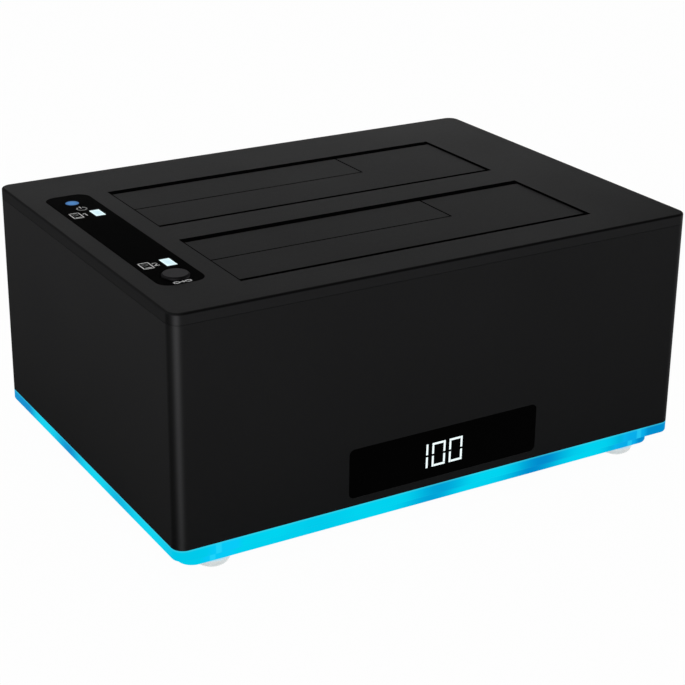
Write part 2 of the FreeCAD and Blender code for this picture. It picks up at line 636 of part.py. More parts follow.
def make_well(side, front):
    """A chute under one opening; it hangs from the cover and guides the drive to its socket."""
    well = Body(side + "_bay_well", BAY_LEFT, front, TOP)
    over, wall = s.well_overhang, s.well_wall
    end, back = s.bay_width + over, s.bay_depth + over
    under, floor = -s.cover_plate, WELL_FLOOR
    well.add("Z", floor - s.well_floor, under, Outline().box(-over - wall, end + wall, -over - wall,
                                                             back + wall))
    well.cut("Z", floor, under, Outline().box(-over, end, -over, back))
    ribs_front, ribs_back = Outline(), Outline()
    for step in (-1.5, -0.5, 0.5, 1.5):
        middle = s.bay_width / 2 + step * s.rib_spacing
        ribs_front.box(middle - s.guide_rib / 2, middle + s.guide_rib / 2, -over - wall / 2, s.guide_gap)
        ribs_back.box(middle - s.guide_rib / 2, middle + s.guide_rib / 2, GUIDE_BACK, back + wall / 2)
    rib_top = FOLDED_FLAP_END - s.fold_clearance
    well.add("Z", floor - s.weld, rib_top, ribs_front)
    well.add("Z", floor - s.weld, -s.rod_depth - s.small_bay_depth - s.fold_clearance, ribs_back)
    side_rib = (s.bay_width - s.drive_width) / 2 - s.drive_side_gap
    ends = Outline()
    for middle in (s.guide_gap + s.end_rib_inset, GUIDE_BACK - s.end_rib_inset):
        ends.box(-over - wall / 2, side_rib, middle - s.guide_rib / 2, middle + s.guide_rib / 2)
        ends.box(s.bay_width - side_rib, end + wall / 2, middle - s.guide_rib / 2,
                 middle + s.guide_rib / 2)
    well.add("Z", floor - s.weld, rib_top, ends)
    socket_y = GUIDE_BACK - s.socket_from_guide
    half, deep = s.socket_length / 2 + s.socket_gap, s.socket_depth / 2 + s.socket_gap
    well.cut("Z", floor - s.well_floor, floor, Outline().box(
        s.socket_from_side - half, s.socket_from_side + half, socket_y - deep, socket_y + deep))
    add_rod_notches(well)
    add_ears(well)
    keep(side + "_bay_well", well)


def add_rod_notches(well):
    """Notches in the end walls and the bracket that hold the flaps' hinge rods."""
    far = s.bay_depth - s.rod_from_edge
    wall_face = s.bay_depth + s.well_overhang + s.weld
    top = -s.rod_depth + s.rod_radius / 2
    well.add("X", BRACKET_X, BRACKET_X + s.knuckle_width, Outline().polygon(
        (far - s.knuckle_radius, top), (wall_face, top), (wall_face, -s.rod_depth - s.bracket_height),
        (far - s.rod_radius, -s.rod_depth - s.knuckle_radius)))
    seat = s.rod_radius + s.rod_seat_gap
    for y, high in ((s.rod_from_edge, s.bay_width + WELL_REACH), (far, BRACKET_X + s.knuckle_width)):
        well.cut("X", -WELL_REACH, high, Outline().box(y - seat, y + seat, -s.rod_depth,
                                                       -s.cover_plate))
        well.cut("X", -WELL_REACH, high, Outline().circle(y, -s.rod_depth, seat))
    sweep = s.rod_depth + s.spring_leg + s.leg_clearance
    back = s.bay_depth + s.well_overhang
    for kind, low, high in (("drive", -WELL_REACH, -s.well_overhang),
                            ("small", back, back + s.well_wall)):
        leg = spring_middle(kind) + s.spring_length / 2 - s.spring_wire / 2
        well.cut("Z", -sweep, -s.cover_plate,
                 Outline().box(leg - s.spring_wire, leg + s.spring_wire, low, high))


def spring_middle(kind):
    """Where a flap's spring sits along its hinge rod."""
    return s.bay_width / 2 if kind == "drive" else s.small_bay_width / 2


def add_ears(well):
    """An ear on each end wall, with a clearance hole under the cover's post."""
    low, high = -s.ear_depth - s.ear_thickness, -s.ear_depth
    half = s.post_radius + s.ear_margin
    end = s.bay_width + WELL_REACH
    ears, holes = Outline(), Outline()
    for x0, x1 in ((-WELL_REACH - s.ear_reach, -WELL_REACH + s.weld),
                   (end - s.weld, end + s.ear_reach)):
        ears.box(x0, x1, BAY_MIDDLE - half, BAY_MIDDLE + half)
    for x in EARS_X:
        holes.ngon(SCREW_SIDES, x, BAY_MIDDLE, s.small_screw_radius + s.screw_gap)
    well.add("Z", low, high, ears)
    well.cut("Z", low, high, holes)


def make_well_screws():
    """Four short screws that hold the wells' ears to the cover's posts."""
    screws = []
    under = TOP - s.ear_depth - s.ear_thickness
    for front in BAYS.values():
        for x in EARS_X:
            place = (BAY_LEFT + x, front + BAY_MIDDLE)
            screws.append(fused(
                prism(HEAD_SIDES, s.small_head_radius, *place, under - s.small_head,
                      s.small_head),
                prism(SCREW_SIDES, s.small_screw_radius, *place, under, s.well_screw_length)))
    keep("well_screws", group(*screws))


def flap_plate(kind):
    """A flap's plan: an L for the large one, whose notch takes the small one."""
    side, seam = s.flap_side_gap, s.flap_seam / 2
    split = s.bay_depth - s.small_bay_depth
    if kind == "small":
        return Outline().box(side, s.small_bay_width - seam, split + seam, s.bay_depth
                             - s.flap_hinge_gap)
    return Outline().polygon(
        (side, s.flap_hinge_gap), (s.bay_width - side, s.flap_hinge_gap),
        (s.bay_width - side, s.bay_depth - s.flap_hinge_gap),
        (s.small_bay_width + seam, s.bay_depth - s.flap_hinge_gap),
        (s.small_bay_width + seam, split - seam), (side, split - seam))


def make_flap(side, kind, front):
    """A flap with end rims, stop tabs and two knuckles around its hinge rod."""
    name = "%s_%s_flap" % (side, kind)
    flap = Body(name, BAY_LEFT, front, TOP)
    top, under = -s.flap_recess, -s.flap_recess - s.flap_thickness
    rim = under - s.flap_rim
    split = s.bay_depth - s.small_bay_depth
    wall, gap, seam = s.flap_rim_wall, s.flap_side_gap, s.flap_seam / 2
    flap.add("Z", under, top, flap_plate(kind))
    rims = Outline()
    if kind == "drive":
        near_edge = s.rim_from_edge
        rims.box(gap, gap + wall, near_edge, split - seam)
        rims.box(s.bay_width - gap - wall, s.bay_width - gap, near_edge,
                 s.bay_depth - s.flap_hinge_gap)
        rims.box(s.small_bay_width + seam, s.small_bay_width + seam + wall, near_edge,
                 s.bay_depth - s.flap_hinge_gap)
        stops = [(gap + wall / 2, -s.stop_reach, split - seam - s.stop_width),
                 (s.bay_width - gap - wall / 2, s.bay_width + s.stop_reach,
                  s.bay_depth - s.flap_hinge_gap - s.stop_width)]
        knuckles = (s.knuckle_from_end, s.bay_width - s.knuckle_from_end - s.knuckle_width)
        hinge, away = s.rod_from_edge, 1
    else:
        far = s.bay_depth - s.rim_from_edge
        rims.box(gap, gap + wall, split + seam, far)
        rims.box(s.small_bay_width - seam - wall, s.small_bay_width - seam, split + seam, far)
        stops = [(gap + wall / 2, -s.stop_reach, split + seam)]
        knuckles = (s.knuckle_from_end, BRACKET_X - 2.5 * s.knuckle_width)
        hinge, away = s.bay_depth - s.rod_from_edge, -1
    flap.add("Z", rim, under, rims)
    for inner, outer, low in stops:
        ends = sorted((inner, as_size(outer)), key=lambda size: size.value)
        flap.add("Z", rim, -s.cover_plate - s.stop_gap, Outline().box(*ends, low, low + s.stop_width))
    for x in knuckles:
        edge = (s.flap_hinge_gap - s.rod_from_edge) * away + hinge
        flap.add("X", x, x + s.knuckle_width, Outline().polygon(
            (edge, under), (edge + s.knuckle_foot * away, under),
            (hinge + 0.8 * s.knuckle_radius * away, -s.rod_depth - 0.6 * s.knuckle_radius),
            (hinge, -s.rod_depth)))
        flap.add("X", x, x + s.knuckle_width,
                 Outline().ngon(8, hinge, -s.rod_depth, s.knuckle_radius))
        flap.cut("X", x, x + s.knuckle_width, Outline().circle(hinge, -s.rod_depth,
                                                               s.rod_radius + s.rod_gap))
    keep(name, flap)


def make_flap_rod(side, kind, front):
    """The steel rod that a flap turns on, resting in the well's notches."""
    if kind == "drive":
        y, length = front + s.rod_from_edge, s.bay_width + 2 * WELL_REACH
    else:
        y = front + s.bay_depth - s.rod_from_edge
        length = WELL_REACH + BRACKET_X + s.knuckle_width
    keep("%s_%s_flap_rod" % (side, kind),
         rod(s.rod_radius, BAY_LEFT - WELL_REACH, y, TOP - s.rod_depth, length, "X"))


def make_flap_spring(side, kind, front):
    """A torsion spring about the rod: close-wound coil, a leg under the flap and one down the wall."""
    away = 1 if kind == "drive" else -1
    hinge = front + (s.rod_from_edge if kind == "drive" else s.bay_depth - s.rod_from_edge)
    level = TOP - s.rod_depth
    start = BAY_LEFT + spring_middle(kind) - s.spring_length / 2
    inner, wire = s.rod_radius + s.rod_gap, s.spring_wire
    spring = Body("%s_%s_flap_spring" % (side, kind), start, hinge, level)
    ring = Outline().ngon(12, 0, 0, inner + wire).ngon(12, 0, 0, inner)
    spring.add("X", 0, s.spring_length, ring)
    thin = s.leg_side
    middle = inner + wire / 2
    wall_leg = sorted((-away * (middle - thin / 2), -away * (middle + thin / 2)),
                      key=lambda size: size.value)
    spring.add("X", s.spring_length - wire / 2 - thin / 2, s.spring_length - wire / 2 + thin / 2,
               Outline().box(*wall_leg, -s.spring_leg, 0))
    lift = s.rod_depth - s.flap_recess - s.flap_thickness - s.leg_gap
    spring.add("X", wire / 2 - thin / 2, wire / 2 + thin / 2, Outline().polygon(
        (0, middle - thin / 2), (away * s.spring_arm, lift - thin), (away * s.spring_arm, lift),
        (0, middle + thin / 2)))
    keep("%s_%s_flap_spring" % (side, kind), spring)


def make_socket(side, front):
    """A drive socket: signal and power blades' slots in one block, with guide ends."""
    socket = Body(side + "_drive_socket", BAY_LEFT + s.socket_from_side,
                  front + GUIDE_BACK - s.socket_from_guide, BOARD_TOP)
    half, deep = s.socket_length / 2, s.socket_depth / 2
    socket.add("Z", 0, s.socket_height, Outline().box(-half, half, -deep, deep))
    slot = s.blade_slot / 2
    first = -half + s.blade_inset
    last = half - s.blade_inset
    signal = Outline().box(first, first + s.signal_slot, -slot, slot)
    power = Outline().box(first + s.signal_slot + s.slot_divider, last, -slot, slot)
    for blades in (signal, power):
        socket.cut("Z", s.socket_height - s.blade_slot_depth, s.socket_height, blades)
    keys = Outline().box(first, first + s.key_width, slot, slot + s.key_depth)
    keys.box(last - s.key_width, last, slot, slot + s.key_depth)
    socket.cut("Z", s.socket_height - s.blade_slot_depth, s.socket_height, keys)
    keep(side + "_drive_socket", socket)


# ---------------------------------------------------------------- boards inside

def make_main_board():
    """The main board, screwed to two of the base plate's posts and resting on two more."""
    board = Body("main_board")
    board.add("Z", s.board_level, BOARD_TOP, Outline().box(BOARD_LEFT, BOARD_RIGHT, BOARD_FRONT,
                                                           BOARD_BACK))
    holes = Outline()
    for x, y in BOARD_HOLES:
        holes.ngon(SCREW_SIDES, x, y, s.small_screw_radius + s.screw_gap)
    board.cut("Z", s.board_level, BOARD_TOP, holes)
    keep("main_board", board)
    screws = [fused(prism(HEAD_SIDES, s.small_head_radius, x, y, BOARD_TOP, s.small_head),
                    prism(SCREW_SIDES, s.small_screw_radius, x, y, BASE_TOP, BOARD_TOP - BASE_TOP))
              for x, y in BOARD_HOLES]
    keep("board_screws", group(*screws))


def make_board_parts():
    """Controller chips, smoothing coil, capacitors and the display's header on the main board."""
    middle = DISPLAY_LEFT + s.display_width / 2
    half = s.header_width / 2
    keep("display_header", block(middle - half, middle + half, DISPLAY_BACK,
                                 BOARD_FRONT + s.header_reach, BOARD_TOP,
                                 BOARD_TOP + s.header_height))
    half = s.chip_side / 2
    behind = BAYS["front"] + s.bay_depth
    chips = ((BAY_LEFT + s.left_chip_from_bay, behind + s.left_chip_from_well),
             (BAY_LEFT + s.right_chip_from_bay, behind + s.right_chip_from_well))
    keep("controller_chips", group(*[
        block(x - half, x + half, y - half, y + half, BOARD_TOP, BOARD_TOP + s.chip_height)
        for x, y in chips]))
    row = BACK - s.parts_row_from_back
    keep("smoothing_coil", prism(8, s.coil_radius, RIGHT - s.coil_from_right, row, BOARD_TOP,
                                 s.coil_height))
    keep("capacitors", group(*[
        rod(s.capacitor_radius, RIGHT - s.capacitors_from_right + step * s.capacitor_pitch, row,
            BOARD_TOP, s.capacitor_height) for step in (-0.5, 0.5)]))


def make_strip_parts():
    """Everything under the control strip: panel, light guides, button, switch and board."""
    panel = Body("control_panel")
    panel.add("Z", TOP - s.strip_thickness, TOP, Outline().rounded(
        STRIP_LEFT, STRIP_LEFT + s.strip_width, STRIP_FRONT, STRIP_FRONT + s.strip_length,
        s.strip_radius))
    panel.cut("Z", TOP - s.strip_thickness, TOP, strip_holes())
    keep("control_panel", panel)
    level = s.panel_board_level
    margin = s.panel_board_margin
    board = Body("panel_board")
    board.add("Z", level - s.panel_board_thickness, level, Outline().box(
        STRIP_LEFT - margin, LIGHT_LEFT + s.light_width, STRIP_FRONT + margin,
        STRIP_FRONT + s.strip_length - margin))
    holes = Outline()
    for x, y in PANEL_POSTS:
        holes.square(x, y, s.panel_peg_side + 2 * s.screw_gap)
    board.cut("Z", level - s.panel_board_thickness, level, holes)
    keep("panel_board", board)
    low = level + s.guide_above_board
    keep("power_light_guide", rod(s.power_radius, *POWER_SPOT, low, TOP - low))
    for name, middle in LIGHTS.items():
        keep(name + "_light_guide", block(LIGHT_LEFT, LIGHT_LEFT + s.light_width,
                                          middle - s.light_length / 2, middle + s.light_length / 2,
                                          low, TOP))
    half = s.led_side / 2
    spots = [POWER_SPOT] + [(LIGHT_LEFT + s.light_width / 2, y) for y in LIGHTS.values()]
    keep("panel_leds", group(*[
        block(x - half, x + half, y - half, y + half, level, level + s.led_height)
        for x, y in spots]))


def make_panel_ribbon():
    """The flat cable from the strip's board down the side wall and round to the main board."""
    x, half = STRIP_LEFT + s.ribbon_from_strip, s.ribbon_width / 2
    thin, bend = s.ribbon_thickness, s.ribbon_bend
    high = s.panel_board_level - s.panel_board_thickness
    level = BOARD_TOP + s.plug_height / 2
    run = block(x, x + thin, -half, half, level + bend, high - s.plug_height)
    turn = less(quarter_ring(bend, x, -half, level + bend, s.ribbon_width),
                quarter_ring(bend - thin, x, -half, level + bend, s.ribbon_width, bend))
    foot = block(x + bend, BOARD_LEFT + s.plug_overlap, -half, half, level, level + thin)
    keep("panel_ribbon", fused(run, turn, foot))
    middle = x + thin / 2
    wide = half + s.plug_overlap
    keep("ribbon_connectors", group(
        block(middle - s.plug_width / 2, middle + s.plug_width / 2, -wide, wide,
              high - s.plug_height, high),
        block(BOARD_LEFT + s.plug_overlap, BOARD_LEFT + s.plug_overlap + s.plug_width, -wide, wide,
              BOARD_TOP, BOARD_TOP + s.plug_height)))


def quarter_ring(radius, x, y, z, width, centre=None):
    """A quarter of a cylinder along Y that fills the bend between a drop and a run to the right."""
    disc = rod(radius, x + (centre or radius), y, z, width, "Y")
    disc.Angle = 90
    disc.Placement.Rotation = Rotation(Vector(1, 0, 0), -90).multiply(Rotation(Vector(0, 0, 1), 90))
    return disc


def make_button():
    """The clone button with its flange, over a push switch whose plunger it carries."""
    x, y = BUTTON_SPOT
    flange_top = BED_UNDER - s.button_stop_gap
    low = flange_top - s.button_flange
    button = Body("clone_button", x, y)
    button.add("Z", low, flange_top, Outline().circle(0, 0, s.button_radius + s.button_flange_reach))
    button.add("Z", flange_top, TOP + s.button_rise, Outline().circle(0, 0, s.button_radius))
    button.chamfer(s.button_chamfer, lambda edge, box: near(edge.BoundBox.ZMin, box.ZMax))
    keep("clone_button", button)
    half = s.switch_side / 2
    head = low - s.button_travel - s.over_travel
    switch = Body("push_switch", x, y)
    switch.add("Z", s.panel_board_level, head, Outline().box(-half, half, -half, half))
    guide = Outline().square(0, 0, s.plunger_side + 2 * s.plunger_gap)
    switch.cut("Z", head - s.plunger_guide, head, guide)
    keep("push_switch", switch)
    half = s.plunger_side / 2
    keep("push_switch_plunger", block(x - half, x + half, y - half, y + half,
                                      head - s.plunger_seat, low))


def make_display():
    """The tinted window, the lit module behind it and the module's board."""
    left, right = DISPLAY_LEFT, DISPLAY_LEFT + s.display_width
    window = Body("display_window")
    window.add("Y", FRONT + s.window_recess, INNER_FRONT, Outline().rounded(
        left, right, DISPLAY_BOTTOM, DISPLAY_TOP, s.display_radius))
    lip = s.display_lip
    window.add("Y", INNER_FRONT, INNER_FRONT + s.window_flange, Outline().box(
        left - lip, right + lip, DISPLAY_BOTTOM, DISPLAY_TOP + lip))
    keep("display_window", window)
    level = (DISPLAY_TOP + DISPLAY_BOTTOM) / 2
    digits = LEFT + s.digits_from_left
    keep("display_module", block(
        digits - s.module_width / 2, digits + s.module_width / 2,
        INNER_FRONT + s.window_flange + s.module_gap, DISPLAY_BOARD_FACE,
        level - s.module_height / 2, level + s.module_height / 2))
    board = Body("display_board")
    reach = s.display_board_reach
    board.add("Y", DISPLAY_BOARD_FACE, DISPLAY_BACK, Outline().box(
        left - reach, right + reach, DISPLAY_BOTTOM + s.display_board_drop, DISPLAY_TOP))
    keep("display_board", board)


def make_light_strips():
    """Four lamp strips on the tray's floor, one along each side, and the leads that feed them."""
    low = s.foot_height + s.base_floor
    top = low + s.lamp_strip_board
    half = s.lead_side / 2
    keep("light_leads", group(*[
        block(x - half, x + half, LEAD_Y - half, LEAD_Y + half, top, s.board_level)
        for x in LEADS_X]))
    inset = s.plinth_inset + s.base_wall + s.lamp_strip_from_wall
    wide, edge = s.lamp_strip_width, s.lamp_from_edge
    strips = []
    half = s.lamp_strip_long / 2
    for y, lamps in ((FRONT + inset, FRONT + inset + edge),
                     (BACK - inset - wide, BACK - inset - edge - s.lamp_width)):
        strips.append(fused(block(-half, half, y, y + wide, low, top), *[
            lamp(s.long_lamp_shift + step * s.lamp_pitch - s.lamp_length / 2, s.lamp_length, lamps,
                 s.lamp_width, top) for step in (-1.5, -0.5, 0.5, 1.5)]))
    half = s.lamp_strip_short / 2
    for x, lamps in ((LEFT + inset, LEFT + inset + edge),
                     (RIGHT - inset - wide, RIGHT - inset - edge - s.lamp_width)):
        strips.append(fused(block(x, x + wide, -half, half, low, top), *[
            lamp(lamps, s.lamp_width, s.short_lamp_shift + step * s.lamp_pitch
                 - s.lamp_length / 2, s.lamp_length, top) for step in (-1, 0, 1)]))
    keep("light_strips", group(*strips))


def lamp(x, along_x, y, along_y, level):
    """One lamp package of a strip."""
    return block(x, x + along_x, y, y + along_y, level, level + s.lamp_height)


# ---------------------------------------------------------------- rear

def make_rear_parts():
    """Power inlet, data port and power switch, all flush with the rear wall."""
    level, x = s.rear_level, INLET_X
    half = s.inlet_body / 2
    shell = fused(block(x - half, x + half, INNER_BACK - s.inlet_body_depth, INNER_BACK, BOARD_TOP,
                        level + half),
                  rod(s.inlet_radius, x, INNER_BACK - s.weld, level, s.wall + s.weld, "Y"))
    start = INNER_BACK - s.inlet_bore_depth
    inlet = less(shell, rod(s.inlet_bore, x, start, level, BACK - start, "Y"))
    pin = rod(s.inlet_pin, x, start - s.weld, level, BACK - start - s.inlet_pin_set_back, "Y")
    keep("power_inlet", fused(inlet, pin))
    x = PORT_X
    half, tall, shell = s.port_width / 2, s.port_height / 2, s.port_shell
    port = Body("data_port")
    port.add("Y", BACK - s.port_depth, BACK, Outline().rounded(
        x - half, x + half, level - tall, level + tall, tall - shell / 4))
    port.cut("Y", BACK - s.port_cavity, BACK, Outline().rounded(
        x - half + shell, x + half - shell, level - tall + shell, level + tall - shell,
        tall - shell * 1.25))
    port.add("Y", BACK - s.port_cavity - s.weld, BACK - s.tongue_set_back, Outline().box(
        x - s.tongue_width / 2, x + s.tongue_width / 2, level - s.tongue_height / 2,
        level + s.tongue_height / 2))
    inset = half - s.port_foot_inset
    port.add("Y", BACK - s.port_depth, INNER_BACK - s.socket_gap, Outline().box(
        x - inset, x + inset, BOARD_TOP, level - tall + s.weld))
    keep("data_port", port)
    make_power_switch()


def make_power_switch():
    """A rocker switch: a snap-in frame and the rocker that tips in it."""
    x, level, rim = SWITCH_X, s.rear_level, s.switch_wall
    half, tall = s.switch_width / 2, s.switch_height / 2
    frame = Body("power_switch_frame")
    frame.add("Y", BACK - s.switch_depth, BACK, Outline().box(x - half, x + half, level - tall,
                                                              level + tall))
    frame.cut("Y", BACK - s.switch_cavity, BACK, Outline().box(
        x - half + rim, x + half - rim, level - tall + rim, level + tall - rim))
    pivot = BACK - s.pivot_depth
    blind = half - rim + s.pivot_blind
    frame.cut("X", x - blind, x + blind, Outline().circle(pivot, level, s.pivot_radius + s.pivot_gap))
    keep("power_switch_frame", frame)
    rocker = Body("power_rocker", x, pivot, level)
    width = half - rim - s.rocker_gap
    reach = tall - rim - s.rocker_tip_gap
    tip = s.rocker_rise - s.rocker_dish
    rocker.add("X", -width, width, Outline().polygon(
        (-s.rocker_belly, -s.rocker_keel), (-s.rocker_belly, s.rocker_keel),
        (s.rocker_rise - s.rocker_wing, reach), (tip, reach), (tip - s.rocker_dish, 0),
        (tip, -reach), (s.rocker_rise - s.rocker_wing, -reach)))
    trunnion = blind - s.pivot_gap
    rocker.add("X", -trunnion, trunnion, Outline().circle(0, 0, s.pivot_radius))
    rocker.body.Placement.Rotation = Rotation(Vector(1, 0, 0), s.rocker_tilt.value)
    keep("power_rocker", rocker)


# ---------------------------------------------------------------- build, check and write

def make_everything():
    make_main_housing()
    make_top_cover()
    make_light_base()
    make_base_plate()
    make_feet()
    make_case_screws()
    for side, front in BAYS.items():
        make_well(side, front)
        make_socket(side, front)
        for kind in ("drive", "small"):
            make_flap(side, kind, front)
            make_flap_rod(side, kind, front)
            make_flap_spring(side, kind, front)
    make_well_screws()
    make_main_board()
    make_board_parts()
    make_strip_parts()
    make_panel_ribbon()
    make_button()
    make_display()
    make_light_strips()
    make_rear_parts()


def check():
    """Stop if any feature failed, or if a node's shape is missing or not valid."""
    doc.recompute()
    for thing in doc.Objects:
        if "Invalid" in thing.State or "Error" in thing.State:
            raise ValueError("%s failed: %s" % (thing.Label, thing.State))
    for label, solid in nodes.items():
        if solid.Shape.isNull() or not solid.Shape.isValid():
            raise ValueError("%s has no valid shape" % label)


make_everything()
check()
os.makedirs("parts", exist_ok=True)
for label, solid in nodes.items():
    solid.Shape.exportStep("parts/%s.step" % label)
    print("%-26s %3d solids %10.1f mm3" % (label, len(solid.Shape.Solids), solid.Shape.Volume))
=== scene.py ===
# %% [markdown]
# # Drive duplicator
# A desk-top dock for two bare hard drives. The rigid model comes from CAD and is the fixed frame
# here. This file gives every surface its finish, adds the small parts that are easier to model as
# meshes, and sets up the studio.

# %% Load the frame
import json
import math
import bmesh
import bpy
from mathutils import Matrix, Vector
from mathutils.bvhtree import BVHTree


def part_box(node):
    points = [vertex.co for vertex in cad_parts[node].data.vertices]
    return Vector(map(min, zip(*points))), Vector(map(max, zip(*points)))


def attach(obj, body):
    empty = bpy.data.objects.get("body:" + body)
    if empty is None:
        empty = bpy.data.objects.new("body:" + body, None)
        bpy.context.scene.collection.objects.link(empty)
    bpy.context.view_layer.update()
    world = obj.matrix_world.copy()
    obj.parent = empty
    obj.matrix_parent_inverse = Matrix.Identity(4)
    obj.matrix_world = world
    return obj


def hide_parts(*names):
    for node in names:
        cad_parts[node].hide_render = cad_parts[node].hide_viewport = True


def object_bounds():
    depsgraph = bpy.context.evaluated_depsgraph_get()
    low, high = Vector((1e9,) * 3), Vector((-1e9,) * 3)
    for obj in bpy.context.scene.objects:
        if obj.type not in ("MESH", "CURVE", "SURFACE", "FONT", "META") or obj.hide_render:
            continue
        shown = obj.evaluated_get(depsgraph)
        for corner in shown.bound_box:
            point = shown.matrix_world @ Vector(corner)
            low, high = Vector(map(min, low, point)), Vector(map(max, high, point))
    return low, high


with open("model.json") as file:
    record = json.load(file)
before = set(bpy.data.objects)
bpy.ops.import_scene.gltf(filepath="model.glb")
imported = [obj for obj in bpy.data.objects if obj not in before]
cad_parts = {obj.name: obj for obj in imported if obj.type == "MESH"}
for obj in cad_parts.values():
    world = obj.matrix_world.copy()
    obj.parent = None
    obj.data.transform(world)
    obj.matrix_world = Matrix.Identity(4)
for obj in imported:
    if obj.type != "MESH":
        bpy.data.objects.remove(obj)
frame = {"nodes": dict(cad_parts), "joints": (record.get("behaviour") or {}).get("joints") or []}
nodes = frame["nodes"]
MM = 0.001


def corners_of(limits):
    return [[float(number) for number in corner] for corner in limits]


cad_box = corners_of(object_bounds())

# %% [markdown]
# ## Places
# The frame's origin is the middle of the outline at the level of the feet, but a designer of the
# front panel measures from the case's left edge, its front edge and its top. Three values turn such
# measures into places, and a fourth is the plane of the display's window. All are read from the frame, so
# the marks follow the case.

# %% Edges to measure from
case_low, case_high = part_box("main_housing")
LEFT, FRONT, TOP = case_low.x, case_low.y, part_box("top_cover")[1].z
WINDOW_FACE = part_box("display_window")[0].y
print("left %.4f front %.4f top %.4f" % (LEFT, FRONT, TOP))

# %% [markdown]
# ## Camera
# A long lens from the front-left, a little above the case, keeps the upright edges nearly parallel. The
# lens is given by its focal length on a 36 mm wide sensor, and a small shift places the object in the
# frame without turning the camera.

# %% Camera
camera_data = bpy.data.cameras.new("catalogue_camera")
camera_data.sensor_width = 36
camera_data.lens = 89.7
camera_data.shift_x = 0.0469
camera_data.shift_y = -0.0783
camera_data.clip_start = 0.01
camera = bpy.data.objects.new("catalogue_camera", camera_data)
bpy.context.scene.collection.objects.link(camera)
camera.location = (-0.22454, -0.37916, 0.21192)
camera.rotation_euler = [math.radians(angle) for angle in (69.134, -0.232, -29.660)]
bpy.context.scene.camera = camera
bpy.context.scene.view_settings.view_transform = "Standard"
print("camera at", tuple(round(number, 3) for number in camera.location))

# %% [markdown]
# ## Shader arithmetic
# Node trees are hard to read as nodes, so a small class wraps a socket and lets Python's operators add
# the Math nodes: `1 - mask * 0.5` builds two nodes. All other nodes come from one method of the finish
# that is being made, which takes the node's type, its settings and what goes into its sockets. The world
# is a tree of nodes too, so the same class makes it.

# %% Signals
class Signal:
    """A node's output that ordinary arithmetic can be done with."""

    def __init__(self, finish, socket):
        self.finish = finish
        self.socket = socket

    def math(self, operation, other=0.0, swapped=False):
        pair = (other, self) if swapped else (self, other)
        return self.finish.node("Math", {"operation": operation}, {0: pair[0], 1: pair[1]})

    def __add__(self, other):
        return self.math("ADD", other)

    __radd__ = __add__

    def __sub__(self, other):
        return self.math("SUBTRACT", other)

    def __rsub__(self, other):
        return self.math("SUBTRACT", other, swapped=True)

    def __mul__(self, other):
        return self.math("MULTIPLY", other)

    __rmul__ = __mul__

    def __truediv__(self, other):
        return self.math("DIVIDE", other)

    def __rtruediv__(self, other):
        return self.math("DIVIDE", other, swapped=True)

    def __pow__(self, other):
        return self.math("POWER", other)

    def __rpow__(self, other):
        return self.math("POWER", other, swapped=True)

    def cosine(self):
        return self.math("COSINE")

    def above(self, edge):
        return self.math("GREATER_THAN", edge)

    def least(self, other):
        return self.math("MINIMUM", other)

    def most(self, other):
        return self.math("MAXIMUM", other)

    def clamped(self):
        return self.most(0.0).least(1.0)

    def absolute(self):
        return self.math("ABSOLUTE")


print("signals know:", [name for name in vars(Signal) if "_" not in name])


# %% Finishes
class Finish:
    """A material, or another owner of nodes, while it is being made."""

    def __init__(self, name, owner=None):
        self.owner = owner or bpy.data.materials.new(name)
        self.owner.use_nodes = True
        self.tree = self.owner.node_tree
        self.tree.nodes.clear()
        self.places = None

    def node(self, kind, settings=None, sockets=None, output=0):
        """Add a node, set it up, feed its sockets, and hand back one of its outputs."""
        made = self.tree.nodes.new("ShaderNode" + kind)
        for field, value in (settings or {}).items():
            if field == "stops":
                set_stops(made.color_ramp, value)
            else:
                setattr(made, field, value)
        for key, value in (sockets or {}).items():
            if isinstance(value, Signal):
                self.tree.links.new(value.socket, made.inputs[key])
            else:
                made.inputs[key].default_value = value
        return Signal(self, made.outputs[output]) if made.outputs else None

    def where(self):
        """The surface's own coordinates, in metres, as one vector."""
        if self.places is None:
            self.places = self.node("TexCoord", output="Object")
        return self.places

    def place(self, axis):
        """The surface's own coordinate along X, Y or Z."""
        return self.node("SeparateXYZ", {}, {0: self.where()}, axis)

    def facing(self, axis):
        """How far the surface's own normal points along X, Y or Z."""
        normal = self.node("TexCoord", output="Normal")
        return self.node("SeparateXYZ", {}, {0: normal}, axis)

    def grain(self, size, detail=2.0, stretch=(1, 1, 1)):
        """Noise whose grains are about that many metres across."""
        spread = self.node("Mapping", {"vector_type": "POINT"}, {"Vector": self.where(), "Scale": stretch})
        return self.node("TexNoise", {}, {"Vector": spread, "Scale": 1 / size, "Detail": detail})

    def blend(self, amount, first, second):
        """A colour between two colours. Mix keeps its colour sockets at places 6 and 7."""
        return self.node("Mix", {"data_type": "RGBA"}, {0: amount, 6: first, 7: second}, 2)

    def tinted(self, colour, level):
        """A colour times a level, through Vector Math."""
        return self.node("VectorMath", {"operation": "SCALE"}, {0: colour, "Scale": level})

    def bump(self, height, depth, strength=1.0):
        return self.node("Bump", {}, {"Height": height, "Distance": depth, "Strength": strength})

    def plastic(self, sockets, matt=None):
        """Close the tree with a Principled shader, which loses its shine where matt is 1."""
        shader = self.node("BsdfPrincipled", {}, sockets)
        if matt is not None:
            flat = self.node("BsdfPrincipled", {}, {**sockets, "Specular IOR Level": 0.0})
            shader = self.node("MixShader", {}, {0: matt, 1: shader, 2: flat})
        self.node("OutputMaterial", {}, {"Surface": shader})
        return self.owner


def set_stops(ramp, stops):
    while len(ramp.elements) < len(stops):
        ramp.elements.new(0.5)
    for element, (place, colour) in zip(ramp.elements, stops):
        element.position = place
        element.color = colour


def paint(names, material):
    """Give CAD nodes a finish in their own material slots."""
    for name in names:
        slots = nodes[name].material_slots
        for place in slots:
            place.material = material
        if not slots:
            nodes[name].data.materials.append(material)


def grey(level, alpha=1.0):
    return (level, level, level, alpha)


